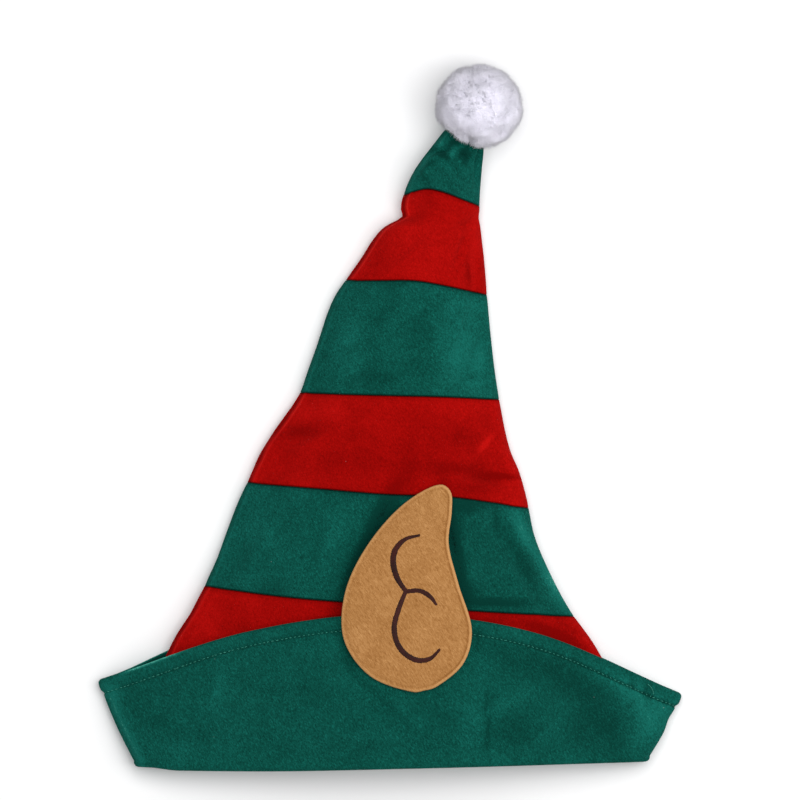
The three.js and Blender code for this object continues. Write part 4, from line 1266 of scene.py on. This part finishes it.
@dataclass
class HemStitching:
    """The running stitch that holds the hem, in a lighter thread."""

    brim: Brim
    pitch: float = 2.6 * MM
    length: float = 1.95 * MM
    radius: float = 0.2 * MM
    proud: float = 0.14 * MM
    uneven: float = 0.08
    stretch: float = 0.15
    slant: float = 0.16 * MM
    tail_ends: tuple[tuple[float, float], ...] = ((144.6 * MM, 2.6 * MM), (148.4 * MM, 6.6 * MM))
    tail_bow: float = 0.7 * MM
    tail_rise: float = 0.5 * MM
    tail_clear: float = 0.1 * MM
    seed: int = 4

    def template(self) -> tuple[np.ndarray, list]:
        """One stitch: a plain thread along X, five-sided."""
        Workshop.clear_selection()
        bpy.ops.mesh.primitive_cylinder_add(vertices=5, radius=1, depth=1, rotation=(0, math.pi / 2, 0))
        return Workshop.cut_template(axis=0, cuts=4)

    def tail(self, template: np.ndarray) -> np.ndarray:
        """The thread's loose end, which lies across the hem near its right end."""
        brim, ends = self.brim, []
        for x, below in self.tail_ends:
            away = np.full(len(brim.ring), below)
            p, n = brim.face(away)
            p = brim.form.place(p + n * brim.relief(p, away)[:, None])
            off = np.where(brim.ring.turn > 89, np.abs(p[:, 0] - brim.form.origin[0] - x), np.inf)
            ends.append((p[np.argmin(off)], n[np.argmin(off)]))
        (start, up), (end, _) = ends
        side = unit(np.cross(up, end - start))
        t = template[:, 0]
        arch = (1 - 4 * t * t)[:, None]
        path = start + (end - start) * (t + 0.5)[:, None] + side * self.tail_bow * arch
        path = path + up * (self.tail_rise * arch + self.tail_clear)
        thin = self.radius * 0.9
        return path + side * (template[:, 1:2] * thin) + up * (template[:, 2:3] * thin)

    def build(self, thread: bpy.types.Material) -> bpy.types.Object:
        """Lays the stitches round the hem and dresses them.

        Args:
            thread: Their material.

        Returns:
            The stitches and the loose end, joined.
        """
        brim = self.brim
        below = np.full(len(brim.ring), brim.form.hem_depth)
        p, n = brim.face(below)
        line = brim.form.place(p + n * brim.relief(p, below)[:, None])
        steps = np.linalg.norm(np.roll(line, -1, axis=0) - line, axis=1)
        reach = np.concatenate(([0], np.cumsum(steps)))
        count = round(reach[-1] / self.pitch)
        line, n = np.vstack([line, line[:1]]), np.vstack([n, n[:1]])

        def along(values: np.ndarray, at: np.ndarray) -> np.ndarray:
            """Values of the line at distances along it."""
            at = np.mod(at, reach[-1])
            return np.stack([np.interp(at, reach, values[:, i]) for i in range(3)], axis=-1)

        rng = np.random.default_rng(self.seed)
        starts = (np.arange(count) + 0.5 + self.uneven * rng.standard_normal(count)) * reach[-1] / count
        template, faces = self.template()
        t = template[:, 0]
        across = template[:, 1:] * np.sqrt(np.clip(1 - (1.9 * t) ** 2, 0.05, 1))[:, None] * self.radius
        drop = (self.proud + self.radius) * (1 - (2 * t) ** 2) - self.radius
        lengths = self.length * (1 + self.stretch * rng.standard_normal(count).clip(-2, 1.5))
        at = starts[:, None] + t[None, :] * lengths[:, None]
        centre, up = along(line, at), unit(along(n, at))
        ahead = unit(along(line, at + 0.3 * MM) - along(line, at - 0.3 * MM))
        side = np.cross(up, ahead)
        slant = self.slant * rng.standard_normal(count)[:, None] * 2 * t[None, :]
        beside = across[:, 0][None, :] + slant
        placed = centre + up * (drop + across[:, 1])[None, :, None] + side * beside[:, :, None]
        placed = np.concatenate([placed, self.tail(template)[None]])
        stitches = Workshop.stamped("hem_stitching", placed, faces)
        Workshop.smooth(stitches)
        Workshop.finish(stitches, Slot.GREEN, thread)
        return stitches


@dataclass
class Ear:
    """A felt ear of two pressed layers, on the upper or the under side."""

    side: Side
    form: HatForm
    brim: Brim
    steps: int = 168
    edge_round: float = 1.3 * MM
    press_at: float = 2.1 * MM
    press_width: float = 0.45 * MM
    press_depth: float = 0.45 * MM
    hover: float = 1.7
    face_rise: float = 1.03
    split: float = 0.22 * MM
    cell: float = 1 * MM
    core_at: tuple[float, ...] = (2.7 * MM, 3.4 * MM, 5 * MM)
    dimple: float = 0.1 * MM
    large_grain: Drift = Drift(1, 26 * MM, 2.4, (1, 1, 0))
    small_grain: Drift = Drift(1, 11 * MM, 6.1, (1, 1, 0))
    nap_drift: Drift = Drift(0.25, 14 * MM, 7.2, (1, 1, 0))
    ground: np.ndarray = field(init=False)

    def __post_init__(self) -> None:
        """Maps the height of the brim's upper face round the ear."""
        form = self.form
        upper = Ring(np.linspace(-0.5, 0.5, 83), np.full(83, 90.0))
        shares = np.linspace(-0.1, 1.8, 90)
        sheets = np.array([form.brim_point(upper, share) for share in shares])[:, 1:-1]
        xs, ys = self.cells(form.ear_width, form.ear_right), self.cells(form.ear_height, form.ear_up)
        columns = range(sheets.shape[1])
        x = np.array([np.interp(ys, sheets[:, k, 1], sheets[:, k, 0]) for k in columns])
        z = np.array([np.interp(ys, sheets[:, k, 1], sheets[:, k, 2]) for k in columns])
        self.ground = np.array([np.interp(xs, x[:, j], z[:, j]) for j in range(len(ys))])

    def cells(self, size: float, middle: float) -> np.ndarray:
        """Places across the ear's size and a little more, a cell apart."""
        half = math.ceil(size / 2 / self.cell) + 4
        return middle + np.arange(-half, half + 1) * self.cell

    def outline(self) -> np.ndarray:
        """The ear's outline about its middle, anticlockwise."""
        corners = np.array(EAR_OUTLINE[::-1])
        corners = (corners - 0.5) * (self.form.ear_width, self.form.ear_height)
        padded = np.vstack([corners[-3:], corners, corners[:3]])
        knots = np.concatenate(([0], np.cumsum(np.linalg.norm(np.diff(padded, axis=0), axis=1) ** 0.5)))
        start, end = knots[3], knots[-3]
        fine = np.linspace(start, end, 8 * self.steps + 1)
        x = smooth_through(knots, padded[:, 0])(fine)
        y = smooth_through(knots, padded[:, 1])(fine)
        reach = np.concatenate(([0], np.cumsum(np.hypot(np.diff(x), np.diff(y)))))
        at = np.linspace(0, reach[-1], self.steps + 1)[:-1]
        return np.stack([np.interp(at, reach, x), np.interp(at, reach, y)], axis=-1)

    @staticmethod
    def ahead(outline: np.ndarray) -> np.ndarray:
        """The outline's direction at each of its points."""
        return unit(np.roll(outline, -1, axis=0) - np.roll(outline, 1, axis=0))

    def seat(self, x: np.ndarray, y: np.ndarray) -> np.ndarray:
        """The height of what the ear lies on, at places about its middle."""
        if self.side is Side.UNDER:
            return np.zeros_like(x)
        form = self.form
        px, py = x + form.ear_right, y + form.ear_up
        tip = form.ear_up + form.ear_height / 2
        down = smoothstep(py, form.brim_height, tip) ** self.hover
        brim = self.brim_height_at(px, py)
        return form.piece_gap + brim + (form.crown_face(px, py) - brim) * down

    def brim_height_at(self, x: np.ndarray, y: np.ndarray) -> np.ndarray:
        """The height of the brim's upper face over the ground plane, carried on past its top edge."""
        rows, columns = self.ground.shape
        across = (x - self.form.ear_right) / self.cell + (columns - 1) / 2
        along = (y - self.form.ear_up) / self.cell + (rows - 1) / 2
        i = np.clip(along.astype(int), 0, rows - 2)
        j = np.clip(across.astype(int), 0, columns - 2)
        p, q = along - i, across - j
        low = self.ground[i, j] * (1 - q) + self.ground[i, j + 1] * q
        high = self.ground[i + 1, j] * (1 - q) + self.ground[i + 1, j + 1] * q
        return low * (1 - p) + high * p

    def layers(self) -> list[tuple[float, float, float]]:
        """How far in from the edge each ring lies, its height, and its dip where the felt is pressed."""
        thick, r = self.form.ear_thickness, self.edge_round
        first, *rest = self.core_at
        press, width = self.press_at, self.press_width
        face_at = [r * 1.15, press - width, press, press + width]
        turns = [(r - r * math.cos(a), r * math.sin(a)) for a in map(math.radians, range(15, 91, 15))]
        rings = [(at, r - rise, 0.0) for at, rise in reversed(turns)]
        rings.append((self.split, thick / 2, 0))
        rings += [(at, thick - r + rise, 0) for at, rise in turns]
        for at in face_at:
            dip = self.press_depth * float(bump(np.array(at - self.press_at), self.press_width))
            rings.append((at, thick, dip))
        rings.append((first, thick * (1 + self.face_rise) / 2, 0))
        return rings + [(at, thick * self.face_rise, 0) for at in rest]

    def pressed(self, outline: np.ndarray) -> np.ndarray:
        """How firmly the edge is pressed at each place of the outline: most on its right side."""
        return 0.2 + 0.8 * smoothstep(self.ahead(outline)[:, 1], 0.1, 0.8)

    def points_and_faces(self) -> tuple[np.ndarray, list]:
        """The ear's rings of points, closed on its heart below and above, and its faces."""
        form = self.form
        outline = self.outline()
        heart = (np.array(EAR_HEART) - 0.5) * (form.ear_width, form.ear_height)
        ahead = self.ahead(outline)
        inward = np.stack([-ahead[:, 1], ahead[:, 0]], axis=-1)
        rings, heights = [], []
        edge = self.layers()
        core = outline + inward * edge[-1][0]
        shares = np.linspace(1, 0.04, 20)[1:]
        below = [(heart + (outline + inward * edge[0][0] - heart) * s, 0.0) for s in shares[::-1]]
        above = [(heart + (core - heart) * s, form.ear_thickness * self.face_rise) for s in shares]
        pressed, flat = self.pressed(outline), np.ones(self.steps)
        for xy, h in below:
            rings.append(xy)
            heights.append(h * flat)
        for at, h, dip in edge:
            rings.append(outline + inward * at)
            heights.append(h - dip * pressed)
        for xy, h in above:
            rings.append(xy)
            heights.append(h * flat)
        xy = np.array(rings)
        z = self.seat(xy[..., 0], xy[..., 1]) + np.array(heights)
        points = np.concatenate([xy, z[..., None]], axis=-1).reshape(-1, 3)
        seat = float(self.seat(heart[:1], heart[1:])[0])
        ends = [[heart[0], heart[1], seat], [heart[0], heart[1], seat + above[-1][1]]]
        points = np.vstack([points, ends])
        count, rows = self.steps, len(rings)
        faces = []
        for row in range(rows - 1):
            for k in range(count):
                a, b = row * count + k, row * count + (k + 1) % count
                faces.append([a, b, b + count, a + count])
        last = (rows - 1) * count
        for k in range(count):
            faces.append([(k + 1) % count, k, rows * count])
            faces.append([last + k, last + (k + 1) % count, rows * count + 1])
        return points, faces

    def nap(self, points: np.ndarray) -> np.ndarray:
        """How light the nap lies: a pale painted highlight round the rim, painted shade along the pressed line
        and a faint drift.
        """
        outline = self.outline()
        pressed = self.pressed(outline)
        away, press = np.empty(len(points)), np.empty(len(points))
        for start in range(0, len(points), 1000):
            some = slice(start, start + 1000)
            apart = np.linalg.norm(points[some, None, :2] - outline[None], axis=-1)
            away[some] = apart.min(axis=1)
            press[some] = pressed[np.argmin(apart, axis=1)]
        # A painted highlight round the rim, and painted shade along the pressed groove
        rim = 0.9 * press * (1 - smoothstep(away, 1.4 * MM, 2 * MM)) + 1.1 * bump(away - 0.5 * MM, 0.6 * MM)
        line = -1.1 * press * bump(away - self.press_at, 0.45 * MM)
        return rim + line + self.nap_drift.at(points)

    def settle(self, points: np.ndarray) -> np.ndarray:
        """Moves points about the ear's middle to their place in the frame, turned over on the under side."""
        form = self.form
        out = points.copy()
        if self.side is Side.UNDER:
            out[..., 2] = form.ear_stack - out[..., 2]
        return form.place(out + (form.ear_right, form.ear_up, 0))

    def build(self, felt: bpy.types.Material) -> bpy.types.Object:
        """Makes and dresses the ear."""
        points, faces = self.points_and_faces()
        if self.side is Side.UPPER:
            top = points[:, 2] - self.seat(points[:, 0], points[:, 1]) > 0.8 * self.form.ear_thickness
            grain = self.small_grain.at(points) + self.large_grain.at(points)
            points[:, 2] += np.where(top, self.dimple * grain, 0)
        else:
            faces = [f[::-1] for f in faces]
        placed = self.settle(points)
        ear = Workshop.from_arrays(self.side.value + "_ear_felt", placed, faces)
        Workshop.set_nap_and_painted_light(ear, self.nap(points))
        Workshop.smooth(ear, 70)
        Workshop.finish(ear, Slot.TAN, felt, self.side.value + "_ear")
        return ear


@dataclass
class Embroidery:
    """The satin-stitched lines of an ear: threads laid side by side across each stroke."""

    ear: Ear
    widest: float = 3.2 * MM
    pitch: float = 0.34 * MM
    radius: float = 0.22 * MM
    spread: float = 1.1
    lean: float = 0.22
    uneven: float = 0.06
    slope_step: float = 1 * MM
    seed: int = 11

    def stroke(self, points: Sequence[StrokePoint]) -> tuple[np.ndarray, np.ndarray, np.ndarray]:
        """Places, directions and half widths along one stroke, a thread apart."""
        form = self.ear.form
        xy = np.array([[(p.across - 0.5) * form.ear_width, (p.up - 0.5) * form.ear_height] for p in points])
        knots = np.concatenate(([0], np.cumsum(np.linalg.norm(np.diff(xy, axis=0), axis=1))))
        curves = [smooth_through(knots, xy[:, i]) for i in (0, 1)]
        width = smooth_through(knots, [p.width for p in points])
        at = np.linspace(0, knots[-1], max(6, round(knots[-1] / self.pitch)))
        line = np.stack([c(at) for c in curves], axis=-1)
        ahead = unit(np.gradient(line, axis=0))
        return line, ahead, width(at) * self.widest / 2 * self.spread

    def template(self) -> tuple[np.ndarray, list]:
        """One thread along X from -1 to 1, with rings to bend it over the stroke."""
        Workshop.clear_selection()
        bpy.ops.mesh.primitive_cylinder_add(vertices=5, radius=1, depth=2, rotation=(0, math.pi / 2, 0))
        return Workshop.cut_template(axis=0, cuts=5)

    def build(self, thread: bpy.types.Material) -> bpy.types.Object:
        """Lays the threads and dresses them.

        Args:
            thread: Their material.

        Returns:
            The threads, joined.
        """
        ear, step = self.ear, self.slope_step
        template, faces = self.template()
        t = template[:, 0]
        rng = np.random.default_rng(self.seed)
        placed = []
        for stroke in STROKES:
            line, ahead, half = self.stroke(stroke)
            lean = unit(np.stack([-ahead[:, 1], ahead[:, 0]], axis=-1) + self.lean * ahead)
            half = half * (1 + self.uneven * rng.standard_normal(len(half)))
            xy = line[:, None, :] + lean[:, None, :] * (t[None, :, None] * half[:, None, None])
            xy = xy + ahead[:, None, :] * (template[:, 1] * self.radius)[None, :, None]
            x, y = line.T
            seat = ear.seat(x, y)
            slope, rise = (ear.seat(x + step, y) - seat) / step, (ear.seat(x, y + step) - seat) / step
            offset = xy - line[:, None, :]
            ground = seat[:, None] + slope[:, None] * offset[..., 0] + rise[:, None] * offset[..., 1]
            top = ear.face_rise * ear.form.ear_thickness + ear.form.thread_proud - self.radius
            arch = top - 0.7 * ear.form.thread_proud * t**4
            round_it = template[:, 2] * self.radius * (1 - 0.5 * np.abs(t) ** 4)
            z = ground + (arch + round_it)[None, :]
            placed.append(np.concatenate([xy, z[..., None]], axis=-1))
        copies = ear.settle(np.concatenate(placed))
        if ear.side is Side.UNDER:
            faces = [f[::-1] for f in faces]
        threads = Workshop.stamped(ear.side.value + "_ear_threads", copies, faces)
        # Painted shade: each thread darker towards its ends, where it dips into the felt, lighter in its
        # middle
        Workshop.set_nap_and_painted_light(threads, np.tile(0.3 - 1.5 * t**4, len(copies)))
        Workshop.smooth(threads)
        Workshop.finish(threads, Slot.BROWN, thread, ear.side.value + "_ear_embroidery")
        return threads


@dataclass
class Pompom:
    """The plush pompom: a lumpy head and dense fibres that lean together in tufts."""

    form: HatForm
    piles: int = 3
    fibres: int = 17500
    tufts: int = 150
    head: float = 0.7
    size: float = 25.8 * MM
    radius: float = 0.16 * MM
    gather: float = 0.32
    dome: float = 0.06
    uneven: float = 0.028
    ragged: float = 0.3
    oblate: float = 0.96
    tuft_jitter: float = 0.07
    stray: float = 0.1
    curl: float = 2.2 * MM
    frizz: float = 0.5 * MM
    rooted: float = 0.8 * MM
    end_clear: float = 0.4 * MM
    floor_clear: float = 0.15 * MM
    tip_way: tuple[float, float, float] = (-0.35, -0.9, 0.1)
    lumps: Drift = Drift(0.04, 0.7, 3.3)
    head_lumps: Drift = Drift(0.9 * MM, 6 * MM, 8.3)
    seed: int = 5
    centre: np.ndarray = field(init=False)

    def __post_init__(self) -> None:
        """Finds the middle and size of the pompom in the frame."""
        low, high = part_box("pompom")
        self.centre = np.array((low + high) / 2)

    @staticmethod
    def directions(count: int) -> np.ndarray:
        """Directions spread evenly over a sphere."""
        z = 1 - (2 * np.arange(count) + 1) / count
        turn = np.arange(count) * math.pi * (3 - math.sqrt(5))
        flat = np.sqrt(1 - z * z)
        return np.stack([flat * np.cos(turn), flat * np.sin(turn), z], axis=-1)

    def head_piece(self, plush: bpy.types.Material) -> bpy.types.Object:
        """The head that the fibres grow from, with a socket where the tip goes in."""
        Workshop.clear_selection()
        radius = self.head * self.size
        bpy.ops.mesh.primitive_ico_sphere_add(subdivisions=5, radius=radius, location=self.centre)
        head = bpy.context.active_object
        head.name = head.data.name = "pompom_head"
        bpy.ops.object.transform_apply(location=True, rotation=False, scale=False)
        points = np.array([v.co for v in head.data.vertices])
        out = unit(points - self.centre)
        points = points + out * self.head_lumps.at(points)[:, None]
        head.data.vertices.foreach_set("co", points.ravel())
        socket = self.tip_hull()
        Workshop.apply(head, "BOOLEAN", operation="DIFFERENCE", object=socket, solver="EXACT")
        bpy.data.objects.remove(socket)
        Workshop.smooth(head)
        Workshop.finish(head, Slot.WHITE, plush, "pompom")
        return head

    def tip_hull(self, room: float = 0.6 * MM) -> bpy.types.Object:
        """A closed body a little larger than the crown's tip."""
        body = bmesh.new()
        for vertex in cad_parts["tip_band"].data.vertices:
            body.verts.new(vertex.co)
        bmesh.ops.convex_hull(body, input=body.verts)
        loose = [v for v in body.verts if not v.link_faces]
        bmesh.ops.delete(body, geom=loose, context="VERTS")
        bmesh.ops.recalc_face_normals(body, faces=body.faces)
        moves = {v: v.normal.copy() for v in body.verts}
        for vertex, normal in moves.items():
            vertex.co += normal * room
        mesh = bpy.data.meshes.new("tip_hull")
        body.to_mesh(mesh)
        body.free()
        return Workshop.link("tip_hull", mesh)

    def tip_planes(self) -> tuple[np.ndarray, np.ndarray]:
        """The face normals and offsets of the tip's hull."""
        hull = self.tip_hull()
        normals = np.array([p.normal for p in hull.data.polygons])
        centres = np.array([p.center for p in hull.data.polygons])
        bpy.data.objects.remove(hull)
        return normals, (normals * centres).sum(axis=1)

    def template(self) -> tuple[np.ndarray, list]:
        """One fibre along Z: three sides, tapered, with one bend in it."""
        Workshop.clear_selection()
        bpy.ops.mesh.primitive_cone_add(vertices=3, radius1=1, radius2=0, depth=1, location=(0, 0, 0.5))
        return Workshop.cut_template(axis=2, cuts=1)

    def build(self, plush: bpy.types.Material) -> list[bpy.types.Object]:
        """Makes the head and its piles of fibres.

        Args:
            plush: Their material.

        Returns:
            The head and each pile.
        """
        pieces = [self.head_piece(plush)]
        rng = np.random.default_rng(self.seed)
        template, faces = self.template()
        t = template[:, 2]
        middle = np.abs(t - 0.5) < 0.1
        wide = np.where(t > 0.9, 0, np.where(middle, 1.25, 0.8))
        scale = np.where(middle, 2.0, 1.0)
        side_x, side_y = template[:, 0] * scale * wide, template[:, 1] * scale * wide
        normals, offsets = self.tip_planes()
        tufts = unit(self.directions(self.tufts) + self.tuft_jitter * rng.standard_normal((self.tufts, 3)))
        swell = 1 + self.uneven * rng.standard_normal(self.tufts).clip(-2, 0.7)
        swell += self.lumps.at(tufts)
        by_tip = smoothstep(tufts @ unit(np.array(self.tip_way)), 0.75, 0.92)
        swell -= self.ragged * by_tip * rng.random(self.tufts)
        for pile in range(self.piles):
            roots = unit(rng.standard_normal((self.fibres, 3)))
            nearest = np.argmax(roots @ tufts.T, axis=1)
            goal = roots + self.gather * (tufts[nearest] - roots)
            goal = unit(goal + self.stray * rng.standard_normal(roots.shape))
            off = np.arccos(np.clip((roots * tufts[nearest]).sum(axis=1), -1, 1)) / math.sqrt(4 / self.tufts)
            height = self.size * swell[nearest] * (1 - self.dome * off * off)
            height *= 0.99 + 0.02 * rng.standard_normal(self.fibres).clip(-2, 1)
            start = self.centre + roots * (self.head * self.size - self.rooted)
            end = self.centre + goal * np.minimum(height, 1.02 * self.size)[:, None] * (1, self.oblate, 1)
            end[:, 2] = np.maximum(end[:, 2], self.end_clear)
            bend = (roots - goal) * self.curl + self.frizz * rng.standard_normal(roots.shape)
            ahead = unit(end - start)
            one = unit(np.cross(ahead, rng.standard_normal(roots.shape)))
            other = np.cross(ahead, one)
            path = start[:, None] + (end - start)[:, None] * t[None, :, None]
            path = path + bend[:, None] * (4 * t * (1 - t))[None, :, None]
            path = path + one[:, None] * (side_x * self.radius)[None, :, None]
            path = path + other[:, None] * (side_y * self.radius)[None, :, None]
            path[..., 2] = np.maximum(path[..., 2], self.floor_clear)
            inside = (path.reshape(-1, 3) @ normals.T - offsets).max(axis=1).reshape(path.shape[:2])
            clear = inside.min(axis=1) > 0
            strands = Workshop.stamped(f"pompom_pile_{pile + 1}", path[clear], faces)
            Workshop.smooth(strands, 180)
            Workshop.finish(strands, Slot.WHITE, plush)
            pieces.append(strands)
        return pieces


@dataclass(frozen=True)
class Lamp:
    """A soft square light that faces the hat."""

    name: str
    place: tuple[float, float, float]
    size: float
    power: float

    def hang(self) -> None:
        """Puts the light in the scene."""
        light = bpy.data.lights.new(self.name, "AREA")
        light.shape, light.size, light.energy = "SQUARE", self.size, self.power
        lamp = Workshop.link(self.name, light)
        lamp.location = self.place
        lamp.rotation_euler = (-Vector(self.place)).to_track_quat("-Z", "Y").to_euler()


@dataclass
class Studio:
    """The pale floor, the soft lights and the camera straight above the hat."""

    form: HatForm
    width: float = 450.5 * MM
    middle: tuple[float, float] = (4.85 * MM, 207.8 * MM)
    distance: float = 8.0
    focus_height: float = 14 * MM
    floor_size: float = 12.0
    floor_drop: float = 0.3 * MM
    surround: float = 0.47
    lamps: tuple[Lamp, ...] = (
        Lamp("softbox", (0.1, 0.2, 1.3), size=1.1, power=11.5),
        Lamp("side", (0.9, -0.1, 1.2), size=0.8, power=6.6),
    )

    def floor(self) -> None:
        """A wide pale floor with a faint tooth."""
        Workshop.clear_selection()
        bpy.ops.mesh.primitive_plane_add(size=self.floor_size, location=(0, 0, -self.floor_drop))
        floor = bpy.context.active_object
        floor.name = "studio_floor"
        board = NodeBoard("studio_floor")
        tooth = board.noise(220, 3, 0.5)
        board.set(Base_Color=(0.93, 0.93, 0.935, 1), Roughness=0.85, Specular_IOR_Level=0.1)
        board.set(Normal=board.bump(tooth, 0.1 * MM, 0.05))
        floor.data.materials.append(board.material)

    def world(self) -> None:
        """An even white surround."""
        world = bpy.data.worlds.new("studio")
        world.use_nodes = True
        surround = world.node_tree.nodes["Background"].inputs
        surround["Color"].default_value = (1, 1, 1, 1)
        surround["Strength"].default_value = self.surround
        bpy.context.scene.world = world

    def camera(self) -> None:
        """A long lens straight above, framed as the hat is in the picture."""
        data = bpy.data.cameras.new("camera")
        data.sensor_width = 36
        data.lens = data.sensor_width * self.distance / self.width
        data.clip_end = 50
        camera = Workshop.link("camera", data)
        across, along = self.middle[0] + self.form.origin[0], self.middle[1] + self.form.origin[1]
        camera.location = (across, along, self.distance + self.focus_height)
        bpy.context.scene.camera = camera

    def build(self) -> None:
        """Sets up the floor, lights and camera."""
        self.floor()
        self.world()
        for lamp in self.lamps:
            lamp.hang()
        self.camera()
        bpy.context.scene.view_settings.view_transform = "Standard"


@dataclass
class ElfHat:
    """The whole hat, put together in the order that it is sewn."""

    form: HatForm = field(default_factory=HatForm)
    finishes: Finishes = field(default_factory=Finishes)
    bands: tuple[tuple[str, Slot], ...] = (
        ("lower_red_band", Slot.RED),
        ("lower_green_band", Slot.GREEN),
        ("middle_red_band", Slot.RED),
        ("middle_green_band", Slot.GREEN),
        ("upper_red_band", Slot.RED),
        ("tip_band", Slot.GREEN),
    )

    def build(self) -> None:
        """Makes every piece of the hat."""
        green, red = self.finishes.green.material(), self.finishes.red.material()
        ring = Ring.of(front=128, back=44, crease=24)
        brim = Brim(self.form, ring)
        brim.build(green)
        for index, (name, slot) in enumerate(self.bands):
            CrownBand(name, index, slot, self.form, ring).build(green if slot is Slot.GREEN else red)
        HemStitching(brim).build(self.finishes.hem.material())
        tan, brown = self.finishes.tan.material(), self.finishes.brown.material()
        for side in Side:
            ear = Ear(side, self.form, brim)
            ear.build(tan)
            Embroidery(ear).build(brown)
        Pompom(self.form).build(self.finishes.plush.material())


def main() -> None:
    """Builds the hat and its studio."""
    logging.basicConfig(level=logging.INFO, format="%(message)s")
    hat = ElfHat()
    hat.build()
    Studio(hat.form).build()


if __name__ == "__main__":
    main()
